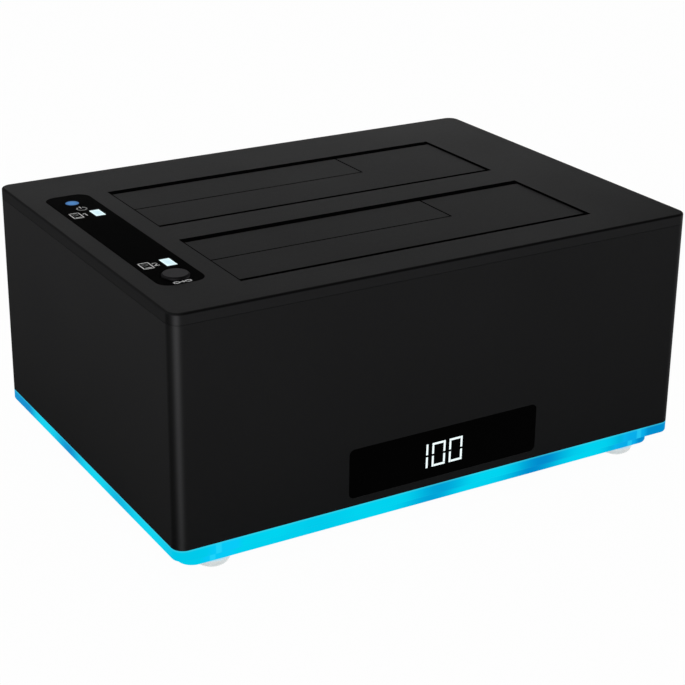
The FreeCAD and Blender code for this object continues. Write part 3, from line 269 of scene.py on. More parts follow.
print("finishes and paint are ready")

# %% [markdown]
# ## Meshes
# Three kinds of small part come up again and again: a thin plate over an outline, a block between two
# corners, and a round wire along a path. Each is one function that fills a mesh, and `piece` turns the mesh
# into an object that moves with its CAD body and knows which finish it takes.

# %% Mesh makers
def piece(name, made, material, body):
    """Close a mesh and hang it on a CAD body."""
    bmesh.ops.recalc_face_normals(made, faces=made.faces)
    mesh = bpy.data.meshes.new(name)
    made.to_mesh(mesh)
    made.free()
    mesh.materials.append(material)
    thing = bpy.data.objects.new(name, mesh)
    bpy.context.scene.collection.objects.link(thing)
    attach(thing, body)
    return thing


def add_ring_wall(made, rings):
    """Faces between neighbouring rings of as many points, with a cap on each end."""
    loops = [[made.verts.new(point) for point in ring] for ring in rings]
    for low, high in zip(loops, loops[1:]):
        for i in range(len(low)):
            j = (i + 1) % len(low)
            made.faces.new([low[i], low[j], high[j], high[i]])
    made.faces.new(loops[0])
    made.faces.new(loops[-1])


def add_plate(made, outline, to_place, thickness):
    """A thin plate over a closed outline; to_place turns (u, v, height) into a point."""
    add_ring_wall(made, [[to_place(u, v, height) for u, v in outline] for height in (0, thickness)])


def add_block(made, low, high):
    corners = [(low[0], low[1]), (high[0], low[1]), (high[0], high[1]), (low[0], high[1])]
    add_ring_wall(made, [[(x, y, z) for x, y in corners] for z in (low[2], high[2])])


def add_wire(made, path, radius, sides=8):
    """A round wire along a path, carried along it without twisting."""
    path = [Vector(point) for point in path]
    runs = [(b - a).normalized() for a, b in zip(path, path[1:])]
    side = runs[0].orthogonal().normalized()
    rings = []
    for i, point in enumerate(path):
        along = (runs[max(i - 1, 0)] + runs[min(i, len(runs) - 1)]).normalized()
        side = (side - along * side.dot(along)).normalized()
        across = along.cross(side)
        angles = [2 * math.pi * k / sides for k in range(sides)]
        rings.append([point + (side * math.cos(a) + across * math.sin(a)) * radius for a in angles])
    add_ring_wall(made, rings)


def add_turned(made, middle, profile, sides=40):
    """A solid of revolution about +Z from a profile of (radius, height)."""
    angles = [2 * math.pi * k / sides for k in range(sides)]
    add_ring_wall(made, [[middle + Vector((r * math.cos(a), r * math.sin(a), z)) for a in angles]
                         for r, z in profile])


print("mesh makers are ready")

# %% [markdown]
# ## Moulded case
# The case, the lid and the flaps are black ABS from spark-eroded moulds. That finish is a fine, even
# pebble, about a third of a millimetre across, with no direction. It is made as two scales of noise that
# drive a very shallow bump, and the same noise moves the roughness a little, because the pebble's
# crests polish first. A faint drift over centimetres keeps large walls from looking like paint.
#
# Light and shade are painted into the colour along the edges. The small round under the lid's rim, and the
# chamfers of the parting line, get a painted dark hairline, the shade and dark reflection that such a round
# shows. The upright corners get a painted highlight in the middle of the round, with a painted dark band
# beside it towards the side wall. Both follow from the direction that the surface faces, which is steady
# over a wall and turns through a right angle over a round. The walls are also painted darker towards the
# bottom, and the lid's walls are painted paler than its top.

# %% Shading by direction
CASE_HEIGHT = 67 * MM
HIGHLIGHT_TOWARDS, HIGHLIGHT_SHARPNESS = (0.55, 0.835), 30
HIGHLIGHT_GAIN, SHADE_BAND_LOSS = 2.8, 0.6


def ramp(signal, width):
    """0 below nothing and 1 above the width, with a straight slope between."""
    return (signal / width).clamped()


def painted_edge_light(finish, painted_wall_lift):
    """How upright a surface is, how far it faces right or left, its height, and the painted light and shade
    of its colour.
    """
    up = finish.facing("Z").absolute().least(1.0)
    upright = (1 - up * up).most(0.0) ** 0.5
    # rim is a painted dark hairline where a round turns from the top into a wall.
    rim = (up * upright * 2).least(1.0) ** 0.6
    right, back = finish.facing("X").absolute(), finish.facing("Y").absolute()
    # A painted highlight in the middle of an upright corner, and a painted shade band beside it towards the
    # side wall.
    towards_highlight = (right * HIGHLIGHT_TOWARDS[0] + back * HIGHLIGHT_TOWARDS[1]).least(1.0)
    painted_highlight = towards_highlight ** HIGHLIGHT_SHARPNESS * upright
    painted_shade_band = (right * back * 4).least(1.0) * right ** 5 * upright
    height = ramp(finish.place("Z"), CASE_HEIGHT)
    # Painted shade on the walls, darker towards the bottom, and the lid's walls painted paler than its top.
    painted_height_shade = 1 - upright * (1 - height) * (0.36 + right * 0.26)
    lift = upright * (1 - right * 0.3) * (painted_wall_lift - 1) + 1
    painted_corner_light = painted_highlight * HIGHLIGHT_GAIN - painted_shade_band * SHADE_BAND_LOSS + 1
    bright = lift * painted_corner_light * painted_height_shade * (1 - rim * (0.9 - right * 0.95))
    return upright, right, height, bright


print("painted edge light is ready for a case %.0f mm high" % (CASE_HEIGHT / MM))

# %% [markdown]
# The narrow walls inside the flap gaps get painted shade, for the shadow that falls into a narrow gap, and
# so do the lines where a flap's edge meets them, where the edge rounds down into shade. Their place follows
# from the openings' sizes: a surface just outside an opening is a wall, and one just inside it, up to the
# flap's own edge, is a line.

# %% Shading of the flap gaps
BAY_WIDTH, BAY_DEPTH, BAY_FROM_LEFT = 104 * MM, 33.87 * MM, 24.01 * MM
BAYS_FROM_FRONT = (11.98 * MM, 57.22 * MM)
WALL_REACH, LINE_REACH = 0.6 * MM, 0.12 * MM
SIDE_LINE, HINGE_LINE = 0.68 * MM, 2.0 * MM
SOFT, SHARP = 0.1 * MM, 0.08 * MM


def gap_shade(finish, upright):
    """Painted shade: 1 in the narrow walls of the flap gaps and along the edges beside them, 0 elsewhere.
    """
    shade = 0.0
    out_x = (finish.place("X") - LEFT - BAY_FROM_LEFT - BAY_WIDTH / 2).absolute() - BAY_WIDTH / 2
    for from_front in BAYS_FROM_FRONT:
        out_y = (finish.place("Y") - FRONT - from_front - BAY_DEPTH / 2).absolute() - BAY_DEPTH / 2
        walls = ramp(WALL_REACH - out_x, SOFT) * ramp(WALL_REACH - out_y, SOFT) * upright
        lines = ramp(out_x + SIDE_LINE, SOFT) + ramp(out_y + HINGE_LINE, SOFT)
        inside = ramp(LINE_REACH - out_x, SHARP) * ramp(LINE_REACH - out_y, SHARP)
        shade = (walls + lines * inside).least(1.0) + shade
    return shade


print("openings %.1f x %.2f mm" % (BAY_WIDTH / MM, BAY_DEPTH / MM))

# %% [markdown]
# The upright walls shine less than the level top, which is where a raking light would show it most. The
# shine's own strength has to stay one number, so a Mix Shader does it: `matt` is how far the surface
# goes from the shining plastic to the same plastic without shine.

# %% Spark-textured plastic
PEBBLE, PATCH, DRIFT = 0.32 * MM, 1.1 * MM, 35 * MM
PEBBLE_DEPTH, GAP_SHADE_LOSS = 0.06 * MM, 0.88


def textured_plastic(name, colour, rough, sheen, painted_wall_lift=1.0, side_shine=1.0, gaps=True):
    """Black ABS with painted light and shade; the wall lift paints its walls paler than its top, and
    side_shine sets how much the side walls shine.
    """
    finish = Finish(name)
    pebble = finish.grain(PEBBLE, 3.0) * 0.7 + finish.grain(PATCH, 2.0) * 0.3
    drift = finish.grain(DRIFT, 1.0)
    # Painted light and shade from the surface's direction and height.
    upright, right, height, bright = painted_edge_light(finish, painted_wall_lift)
    # Painted shade in the flap gaps darkens the colour and takes the shine away there.
    painted_gap_shade = gap_shade(finish, upright).least(1.0) * GAP_SHADE_LOSS if gaps else 0.0
    mottle = 0.82 + (pebble * 0.6 + drift * 0.4) * 0.36
    shine = (1 - upright * (0.8 - right * (height * 0.18 + 0.08) * side_shine)) * (1 - painted_gap_shade)
    return finish.plastic({
        "Base Color": finish.tinted(colour, mottle * bright * (1 - painted_gap_shade)),
        "Roughness": rough + (pebble - 0.5) * 0.16 + (drift - 0.5) * 0.08,
        "Specular IOR Level": sheen,
        "Normal": finish.bump(pebble, PEBBLE_DEPTH, 0.35)}, matt=1 - shine)


case_plastic = textured_plastic("case_plastic", (0.0272, 0.0272, 0.0279), 0.6, 0.05, gaps=False)
# The lid's top takes a darker colour, and its walls are painted paler, for how the light falls on them.
lid_plastic = textured_plastic("lid_plastic", (0.0092, 0.0092, 0.0095), 0.42, 0.055, painted_wall_lift=3.2,
                               side_shine=-0.2)
flap_plastic = textured_plastic("flap_plastic", (0.0084, 0.0084, 0.0087), 0.44, 0.055)
well_plastic = textured_plastic("well_plastic", (0.0130, 0.0130, 0.0135), 0.55, 0.15, gaps=False)
button_plastic = textured_plastic("button_plastic", (0.0235, 0.0225, 0.0245), 0.5, 0.08, gaps=False)
paint(["main_housing", "base_plate"], case_plastic)
paint(["top_cover"], lid_plastic)
paint([side + part for side in ("front", "rear") for part in ("_drive_flap", "_small_flap")],
      flap_plastic)
paint(["front_bay_well", "rear_bay_well"], well_plastic)
paint(["clone_button"], button_plastic)
print("textured plastic on the case, flaps, wells and button")

# %% [markdown]
# ## Gloss inserts
# The control strip and the display window are tinted, polished inserts. They look almost dead black:
# little light comes back from them, except at grazing angles. Polished plastic is never perfectly flat,
# so a bend of a few centimetres goes into the bump, and faint wipe marks move the roughness.

# %% Gloss black
def gloss_black(name, level):
    finish = Finish(name)
    wave = finish.grain(30 * MM, 1.0)
    wipe = finish.grain(2 * MM, 2.0, (1, 0.12, 1))
    tone = finish.blend(wipe, grey(level * 0.8), grey(level * 1.25))
    return finish.plastic({
        "Base Color": tone,
        "Roughness": 0.10 + wipe * 0.06,
        "Specular IOR Level": 0.006,
        "Normal": finish.bump(wave, 0.04 * MM, 0.4)})


paint(["control_panel", "display_window"], gloss_black("gloss_black", 0.0006))
print("gloss black on the strip and the window")

# %% [markdown]
# ## Lit base
# The base is a clear blue-green moulding with small lamps along its inside, 34 mm apart. Each lamp makes a
# bright patch on the wall in front of it, and the patches blend into each other. The glow is written as a
# cosine along each side, with its crests at the lamps. The gaps between lamps show more, and look more
# blue, towards the right and the back, where the wall is seen at a flatter angle through more plastic. The
# upper edge, where the moulding meets the case, carries a painted highlight, a paler line, and the screw
# columns inside show as paler patches with a bright streak.

# %% Glow of the base
PITCH = 34 * MM
FRONT_CREST, SIDE_CREST = -19.7 * MM, -5.3 * MM
COLUMN_X, COLUMN_HALF = 62.85 * MM, 5 * MM
STREAK_X, STREAK_HALF = 64.6 * MM, 0.9 * MM
SEAM_HIGHLIGHT_REACH = 0.55 * MM
BETWEEN_LAMPS, BY_LAMP = (0.0, 0.255, 0.600, 1), (0.0, 0.650, 0.860, 1)
COLUMN_BLUE, STREAK_BLUE = (0.004, 0.560, 1.0, 1), (0.03, 0.74, 1.0, 1)
UNDERSIDE_BLUE, SEAM_HIGHLIGHT = (0.0, 0.120, 0.190, 1), (0.050, 0.620, 0.760, 1)


def gap_along(finish, axis, crest, start, reach, lowest):
    """A wave along a side, 0 at the lamps; its peaks grow from the start over the reach."""
    turn = (finish.place(axis) - crest) * (2 * math.pi / PITCH)
    growth = ((finish.place(axis) - start) / reach).most(lowest).least(1.0)
    return (0.5 - turn.cosine() * 0.5).most(0.0) ** 1.5 * growth


def column_glow(finish, middle, half):
    """1 over a screw column's width, falling off at its edges."""
    away = (finish.place("X").absolute() - middle).absolute() / half
    return ((1 - away) * 3).clamped()


def gap_shadow(finish, on_side):
    """How far a place along the wall is from the lamps, on the front or on the side walls."""
    front = gap_along(finish, "X", FRONT_CREST, -22 * MM, 27 * MM, 0.15)
    front = (front + ramp(finish.place("X") - 58 * MM, 12 * MM) * 0.7).least(1.0)
    side = gap_along(finish, "Y", SIDE_CREST, -60 * MM, 80 * MM, 0.2)
    side = (side + ramp(finish.place("Y") - 36 * MM, 16 * MM) * 0.9).least(1.0)
    return front * (1 - on_side) + side * on_side


def lit_base():
    finish = Finish("lit_base")
    on_side = (finish.facing("X").absolute() - finish.facing("Y").absolute() * 0.5).clamped()
    outward = 1 - (0 - finish.facing("Z")).most(0.0) ** 4
    cloud = finish.grain(14 * MM, 2.0)
    glow = (1 - gap_shadow(finish, on_side) * outward + (cloud - 0.5) * 0.35).clamped()
    colour = finish.blend(glow, BETWEEN_LAMPS, BY_LAMP)
    on_front = (1 - on_side) * outward
    column = column_glow(finish, COLUMN_X, COLUMN_HALF) * on_front
    colour = finish.blend(column * 0.5, colour, COLUMN_BLUE)
    streak = column_glow(finish, STREAK_X, STREAK_HALF) * on_front
    colour = finish.blend(streak * 0.4, colour, STREAK_BLUE)
    colour = finish.blend((1 - outward) * 0.85, colour, UNDERSIDE_BLUE)
    # A painted highlight along the upper edge of the rim.
    below = (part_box("light_base")[1].z - finish.place("Z")) / SEAM_HIGHLIGHT_REACH
    colour = finish.blend(below.least(1.0) * 0.8 + 0.2, SEAM_HIGHLIGHT, colour)
    rib = finish.grain(0.4 * MM, 2.0)
    return finish.plastic({
        "Base Color": (0.0, 0.02, 0.03, 1),
        "Roughness": 0.34 + rib * 0.1,
        "Specular IOR Level": 0.004,
        "Emission Color": colour,
        "Emission Strength": 1.0,
        "Normal": finish.bump(rib, 0.03 * MM, 0.3)})


print("lamps every %.0f mm" % (PITCH / MM))

# %% [markdown]
# The moulding itself is a tray: a rim flush with the case, a plinth with rounder corners set in under
# it, and a hollow that the lamps stand in. It is made as one stack of rounded outlines, from the floor of
# the hollow, up and over the rim, and down to the underside. Every outline has as many points, so each
# pair of neighbours closes with a band of faces, and every outer edge gets a small round.

# %% Tray of outlines
BASE_BOTTOM, BASE_TOP = [corner.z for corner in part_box("light_base")]
RIM_BOTTOM = BASE_TOP - 3.1 * MM
FLOOR_TOP = BASE_BOTTOM + 2.0 * MM
HOLLOW, PLINTH = 6.3 * MM, 3.5 * MM
HOLLOW_CORNER, RIM_CORNER, PLINTH_CORNER = 1.0 * MM, 3.2 * MM, 4.0 * MM
TOP_ROUND, EDGE_ROUND, EDGE_MIDDLE = 0.25 * MM, 0.5 * MM, 0.15 * MM


def rounded(inset, radius, z, steps=8):
    """A rounded rectangle at a height, set in from the case's outline."""
    x, y = case_high.x - inset - radius, case_high.y - inset - radius
    points = []
    for corner, (sign_x, sign_y) in enumerate(((1, 1), (-1, 1), (-1, -1), (1, -1))):
        for i in range(steps + 1):
            angle = math.pi / 2 * (corner + i / steps)
            points.append((sign_x * x + radius * math.cos(angle), sign_y * y + radius * math.sin(angle), z))
    return points


def wall_outlines(inset, radius, places):
    """Outlines of one wall; each place is how far in from that wall, and how high."""
    return [rounded(inset + further, radius - further, z) for further, z in places]


outlines = wall_outlines(HOLLOW, HOLLOW_CORNER, ((0, FLOOR_TOP), (0, BASE_TOP)))
outlines += wall_outlines(0, RIM_CORNER, (
    (TOP_ROUND, BASE_TOP), (0, BASE_TOP - TOP_ROUND), (0, RIM_BOTTOM + EDGE_ROUND),
    (EDGE_MIDDLE, RIM_BOTTOM + EDGE_MIDDLE), (EDGE_ROUND, RIM_BOTTOM)))
outlines += wall_outlines(PLINTH, PLINTH_CORNER, (
    (0, RIM_BOTTOM), (0, BASE_BOTTOM + EDGE_ROUND), (EDGE_MIDDLE, BASE_BOTTOM + EDGE_MIDDLE),
    (EDGE_ROUND, BASE_BOTTOM)))
tray_mesh = bmesh.new()
add_ring_wall(tray_mesh, outlines)
tray = piece("lit_tray", tray_mesh, lit_base(), "case")
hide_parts("light_base")
print("lit tray:", len(outlines), "outlines")

# %% [markdown]
# ## Bumpers
# The feet are self-adhesive domes of clear polyurethane. They look milky because light scatters in them,
# and the light that they carry from the base and the floor is painted in as a glow, paler towards the base
# and with painted shade towards the sole. They stick to the base under its screw columns. The dome is a
# profile turned about its middle: full width where it sticks to the base, rounding in to a small flat sole.

# %% Clear rubber
def clear_rubber():
    finish = Finish("clear_rubber")
    cloud = finish.grain(3 * MM, 2.0)
    low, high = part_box("rubber_feet")
    rise = ramp(finish.place("Z") - low.z, high.z - low.z)
    # Painted light: the feet glow with light carried from the base and the floor, with painted shade
    # towards the sole.
    shade = (rise * 0.7 + cloud * 0.3).least(1.0)
    return finish.plastic({
        "Base Color": finish.blend(cloud, (0.60, 0.60, 0.60, 1), (0.74, 0.75, 0.75, 1)),
        "Roughness": 0.28 + cloud * 0.12,
        "Emission Color": finish.blend(shade, (0.28, 0.28, 0.265, 1), (0.50, 0.50, 0.49, 1)),
        "Emission Strength": 1.0,
        "Normal": finish.bump(cloud, 0.05 * MM, 0.3)})


rubber = clear_rubber()
print("clear rubber:", len(rubber.node_tree.nodes), "nodes")


# %% Domes
SOLE_SHARE, SHOULDER = 0.5, 2.5


def dome_profile(radius, height, steps=10):
    """From the flat sole, a share of the full width, up to the full width."""
    heights = [height * i / steps for i in range(steps + 1)]
    drawn_in = 1 - SOLE_SHARE ** 2
    return [(radius * (1 - drawn_in * ((height - z) / height) ** SHOULDER) ** 0.5, z) for z in heights]


low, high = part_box("rubber_feet")
foot_radius = (high.x - low.x - 2 * COLUMN_X) / 2
domes = bmesh.new()
for x in (low.x + foot_radius, high.x - foot_radius):
    for y in (low.y + foot_radius, high.y - foot_radius):
        add_turned(domes, Vector((x, y, low.z)), dome_profile(foot_radius, high.z - low.z))
feet = piece("domed_feet", domes, rubber, "case")
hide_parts("rubber_feet")
print("four domes, %.1f mm wide" % (2 * foot_radius / MM))

# %% [markdown]
# ## Metals, boards and small plastic
# Drawn steel rods and springs carry fine lines along their length. Circuit boards are green solder mask
# over copper, whose tracks show as slightly raised lines. Connectors and switches are black nylon, and
# cables, lamps and capacitors have pale skins.

# %% Steel
def drawn_steel(name, level, stretch):
    finish = Finish(name)
    lines = finish.grain(0.3 * MM, 3.0, stretch)
    return finish.plastic({
        "Base Color": finish.blend(lines, grey(level * 0.85), grey(level * 1.1)),
        "Metallic": 1.0,
        "Roughness": 0.22 + lines * 0.16,
        "Normal": finish.bump(lines, 0.01 * MM, 0.3)})


spring_steel = drawn_steel("spring_steel", 0.50, (0.1, 1, 1))
screw_steel = drawn_steel("screw_steel", 0.42, (1, 1, 1))
paint([name for name in nodes if name.endswith("_rod") or name.endswith("_spring")], spring_steel)
paint([name for name in nodes if name.endswith("_screws")] + ["data_port"], screw_steel)
print("steel")


# %% Boards and connectors
CELLS_A_METRE = 420.0


def solder_mask():
    finish = Finish("solder_mask")
    cells = finish.node("TexVoronoi", {"distance": "CHEBYCHEV", "feature": "F1"},
                        {"Vector": finish.where(), "Scale": CELLS_A_METRE})
    track = cells.above(0.35)
    return finish.plastic({
        "Base Color": finish.blend(track, (0.006, 0.060, 0.024, 1), (0.010, 0.105, 0.040, 1)),
        "Roughness": 0.32 + track * 0.12,
        "Normal": finish.bump(track, 0.03 * MM, 0.5)})


def nylon(name, level):
    finish = Finish(name)
    skin = finish.grain(0.5 * MM, 2.0)
    return finish.plastic({
        "Base Color": finish.blend(skin, grey(level * 0.8), grey(level * 1.25)),
        "Roughness": 0.42 + skin * 0.14,
        "Specular IOR Level": 0.3,
        "Normal": finish.bump(skin, 0.03 * MM, 0.3)})


black_nylon = nylon("black_nylon", 0.011)
pale_nylon = nylon("pale_nylon", 0.62)
paint(["main_board", "panel_board", "display_board"], solder_mask())
paint(["front_drive_socket", "rear_drive_socket", "display_header", "ribbon_connectors", "power_inlet",
       "controller_chips", "push_switch", "push_switch_plunger", "power_switch_frame",
       "power_rocker", "smoothing_coil", "display_module"], black_nylon)
paint(["light_strips", "light_leads", "panel_ribbon", "panel_leds", "capacitors"], pale_nylon)
print("boards and connectors")

# %% [markdown]
# ## Flap springs
# Each flap has a torsion spring: a close-wound coil around the hinge rod, one leg down the wall of the
# bay and one under the flap. The wire is one path. It comes up the wall, goes round the rod eleven and a
# quarter times, and leaves along the flap, so both legs are tangent to the coil. It is drawn a little
# thinner than the room that one turn has, so that neighbouring turns stay apart.

# %% Coils
WIRE, WIRE_RADIUS = 0.5 * MM, 0.21 * MM
TURNS, STEPS_A_TURN = 11.25, 24


def spring_path(joint, low, high):
    """Points along the wire, from the end of the wall leg to the end of the flap leg."""
    hinge = Vector(joint["pos_m"])
    away = -1 if joint["axis"][0] > 0 else 1
    radius = min(high.z - hinge.z, 0.95 * MM) - WIRE / 4
    first, last = high.x - WIRE / 2, low.x + WIRE / 2
    steps = int(TURNS * STEPS_A_TURN)
    path = [(first, hinge.y - away * radius, low.z)]
    for i in range(steps + 1):
        turn = math.pi - i * 2 * math.pi / STEPS_A_TURN
        path.append((first + (last - first) * i / steps, hinge.y + away * radius * math.cos(turn),
                     hinge.z + radius * math.sin(turn)))
    path.append((last, high.y if away > 0 else low.y, high.z - WIRE / 2))
    return path


flap_joints = [joint for joint in frame["joints"] if joint["name"].endswith("_flap_hinge")]
for joint in flap_joints:
    body = joint["child"]
    low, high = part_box(body + "_spring")
    coil = bmesh.new()
    add_wire(coil, spring_path(joint, low, high), WIRE_RADIUS)
    spring = piece(body + "_coil", coil, spring_steel, body)
    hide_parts(body + "_spring")
print("coils:", len(flap_joints))

# %% [markdown]
# ## Contacts
# Each drive socket has seven signal and fifteen power contacts, 1.27 mm apart: gold-plated leaves that
# stand against one wall of their slot. They start just above the slot's floor and stop short of its mouth.

# %% Gold leaves
def gold_plate():
    finish = Finish("gold_plate")
    wear = finish.grain(0.5 * MM, 2.0, (1, 1, 0.2))
    return finish.plastic({
        "Base Color": finish.blend(wear, (0.72, 0.42, 0.11, 1), (0.90, 0.60, 0.22, 1)),
        "Metallic": 1.0,
        "Roughness": 0.2 + wear * 0.15})


CONTACT_PITCH, LEAF_HALF = 1.27 * MM, 0.38 * MM
LEAF_FRONT, LEAF_BACK = 1.14 * MM, 0.80 * MM
LEAF_FOOT, LEAF_TIP = 5.3 * MM, 0.9 * MM
SLOTS = ((2.6 * MM, 10.2 * MM, 7), (14.6 * MM, 21.4 * MM, 15))
gold = gold_plate()
for side in ("front", "rear"):
    low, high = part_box(side + "_drive_socket")
    middle_y = (low.y + high.y) / 2
    leaves = bmesh.new()
    for start, width, count in SLOTS:
        first = low.x + start + width / 2 - (count - 1) / 2 * CONTACT_PITCH
        for i in range(count):
            x = first + i * CONTACT_PITCH
            add_block(leaves, (x - LEAF_HALF, middle_y - LEAF_FRONT, high.z - LEAF_FOOT),
                      (x + LEAF_HALF, middle_y - LEAF_BACK, high.z - LEAF_TIP))
    piece(side + "_socket_contacts", leaves, gold, "case")
print("contacts in both sockets")

# %% [markdown]
# ## Lights on the strip
# Two clear windows show which drive is at work, and a round one shows that the power is on. A lamp stands
# under the middle of each, so the glow is strongest there and falls off towards the edge.

# %% Lit windows
def lit_window(name, node, core, rim, reach):
    finish = Finish(name)
    low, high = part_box(node)
    middle = (low + high) / 2
    across = (finish.place("X") - middle.x) / (high.x - low.x)
    along = (finish.place("Y") - middle.y) / (high.y - low.y)
    away = ((across * across + along * along) ** 0.5 * 2 * reach).least(1.0)
    speck = finish.grain(0.4 * MM, 2.0)
    colour = finish.blend((away * 0.85 + speck * 0.15).least(1.0), core, rim)
    return finish.plastic({
        "Base Color": finish.blend(speck, grey(0.02), grey(0.04)),
        "Roughness": 0.25 + speck * 0.1,
        "Specular IOR Level": 0.05,
        "Emission Color": colour,
        "Emission Strength": 1.0,
        "Normal": finish.bump(speck, 0.02 * MM, 0.3)})


paint(["power_light_guide"], lit_window("power_glow", "power_light_guide", (0.050, 0.240, 0.580, 1),
                                        (0.022, 0.110, 0.300, 1), 1.0))
for side in ("source", "target"):
    node = side + "_light_guide"
    paint([node], lit_window(side + "_glow", node, (0.56, 0.80, 0.88, 1), (0.78, 0.94, 0.96, 1), 0.8))
print("lit windows")

# %% [markdown]
# ## Digits
# The display shows how far a copy has got, in per cent. Each figure is a cell of bars, lit in white
# behind the tint. A bar is a flat strip with square ends. At a corner of the cell one bar runs out to the
# edge and the other stops short of it, with a thin dark gap between. Building a bar once from its two end
# points and a width gives them all.

# %% Bars of a figure
def bar(start, end, half):
    """A strip from start to end, given as (u, v), with square ends."""
    start, end = Vector(start), Vector(end)
    side = Vector((start.y - end.y, end.x - start.x)).normalized() * half
    return [tuple(corner) for corner in (start - side, end - side, end + side, start + side)]


FIGURE_WIDTH, FIGURE_HEIGHT, BAR_HALF, BAR_GAP = 3.45 * MM, 6.6 * MM, 0.27 * MM, 0.30 * MM
LEAN, BAR_THICKNESS, SUNK = 0.015, 0.06 * MM, 0.01 * MM
ROW_BELOW_TOP = 52.1 * MM
FIGURES = ((68.65 * MM, "BC"), (73.9 * MM, "ABCDEF"), (79.1 * MM, "ABCDEF"))


def figure_bars(lit):
    """The bars of one figure about its centre; lit names them A to F, clockwise from the top."""
    w, h, gap = FIGURE_WIDTH / 2, FIGURE_HEIGHT / 2, BAR_GAP
    near, far, row, end = w - BAR_HALF - gap / 3, w + BAR_HALF, h - BAR_HALF, h - 2 * BAR_HALF - gap / 3
    ends = {"A": ((-far, row), (near, row)), "B": ((w, h), (w, gap)), "C": ((w, -gap), (w, -end)),
            "D": ((far, -row), (-near, -row)), "E": ((-w, -h), (-w, -gap)), "F": ((-w, gap), (-w, end))}
    if "A" not in lit:
        ends["C"] = ((w, -gap), (w, -h))
    return [[(u + v * LEAN, v) for u, v in bar(*ends[letter], BAR_HALF)] for letter in lit]


def digit_glow():
    finish = Finish("digit_glow")
    speck = finish.grain(0.6 * MM, 2.0)
    return finish.plastic({
        "Base Color": grey(0.3), "Roughness": 0.3 + speck * 0.1,
        "Emission Color": finish.blend(speck, (0.72, 0.86, 0.88, 1), (0.90, 1.0, 1.0, 1)),
        "Emission Strength": 1.0})


def on_window(from_left):
    """Places on the window's face, about a figure's middle."""
    return lambda u, v, height: Vector((u + LEFT + from_left, WINDOW_FACE + SUNK - height,
                                        v + TOP - ROW_BELOW_TOP))


plates = bmesh.new()
for from_left, lit in FIGURES:
    for outline in figure_bars(lit):
        add_plate(plates, outline, on_window(from_left), BAR_THICKNESS)
piece("display_digits", plates, digit_glow(), "case")
print("digits:", [lit for _, lit in FIGURES])

# %% [markdown]
# ## Printed marks
# Small printed marks tell the lights, the button, the switch and the ports apart: the usual power sign, a
# 1 and a 2 beside the two drive lights with a drive's outline next to each, an arrow from box to box for
# copying, a bar and a ring for on and off, the sign for direct current, and two opposed arrows for data.
# They are thin white plates, drawn from strokes of one width, which is how a pad printer would do them.
# Each point of a mark is dropped onto the surface below it, so a mark also follows the rocker's slopes.

# %% Strokes
def stroke(points, width):
    """Plates along a line of points, one for each run."""
    plates = []
    for start, end in zip(points, points[1:]):
        start, end = Vector(start), Vector(end)
        along = (end - start).normalized() * width / 2
        side = Vector((-along.y, along.x))
        plates.append([tuple(start - along + side), tuple(end + along + side), tuple(end + along - side),
                       tuple(start - along - side)])
    return plates


def arc(x, y, radius, start, end, steps=14):
    angles = [math.radians(start + (end - start) * i / steps) for i in range(steps + 1)]
    return [(x + radius * math.cos(angle), y + radius * math.sin(angle)) for angle in angles]


def box_line(x, y, width, height):
    return [(x, y), (x + width, y), (x + width, y + height), (x, y + height), (x, y)]


def dropped(node, start, direction):
    """A rule that drops (u, v) onto a node's surface; start places the ray and direction aims it."""
    mesh = nodes[node].data
    surface = BVHTree.FromPolygons([corner.co for corner in mesh.vertices],
                                   [list(face.vertices) for face in mesh.polygons])
    aim = Vector(direction)
    return lambda u, v, height: surface.ray_cast(start(u, v), aim)[0] - aim * (height - SUNK)


def print_ink():
    finish = Finish("print_ink")
    speck = finish.grain(0.3 * MM, 2.0)
    return finish.plastic({"Base Color": finish.blend(speck, grey(0.56), grey(0.74)),
                           "Roughness": 0.5 + speck * 0.1})


INK = print_ink()
INK_DEPTH = 0.03 * MM


def print_marks(name, lines, pen, node, start, direction, body):
    """Print lines, given in millimetres, onto a node."""
    plates = bmesh.new()
    to_place = dropped(node, start, direction)
    for line in lines:
        for outline in stroke(line, pen):
            add_plate(plates, outline, to_place, INK_DEPTH)
    piece(name, plates, INK, body)
    print(name + ":", len(lines), "lines")


def moved(lines, x, y, scale=1.0):
    return [[(x + u * scale, y + v * scale) for u, v in line] for line in lines]


print("ink %.2f mm deep" % (INK_DEPTH / MM))

# %% Marks of the strip
ONE = [[(0.25, 1.45), (0.85, 1.9), (0.85, 0)]]
TWO = [[(0.1, 1.5), (0.4, 1.85), (0.95, 1.85), (1.2, 1.45), (1.1, 1.05), (0.1, 0), (1.25, 0)]]
POWER_SIGN = [arc(0, 0, 1.05, 125, 415), [(0, 0.35), (0, 1.45)]]
DRIVE = [box_line(-1.3, -2.1, 2.6, 4.2), arc(0, 0.75, 0.62, 0, 360), [(-0.7, -1.45), (0.7, -1.45)]]
COPY = [box_line(-2.2, -0.5, 1.3, 1.0), box_line(0.9, -0.5, 1.3, 1.0), [(-0.65, 0), (0.6, 0)],
        [(0.2, 0.38), (0.65, 0), (0.2, -0.38)]]
PEN, CLEAR = 0.30, 10 * MM
POWER_AT, POWER_SCALE, COPY_AT = (12.2, 80.9), 1.25, (11.8, 18.35)
DRIVE_FROM_LEFT, NUMBER_FROM_LEFT, NUMBER_DROP = 8.7, 10.5, 0.95
SOURCE_FROM_FRONT, TARGET_FROM_FRONT = 76.0, 32.25


def above_case(u, v):
    """Rays from above; u runs from the case's left edge and v from its front edge."""
    return Vector((LEFT + u * MM, FRONT + v * MM, TOP + CLEAR))


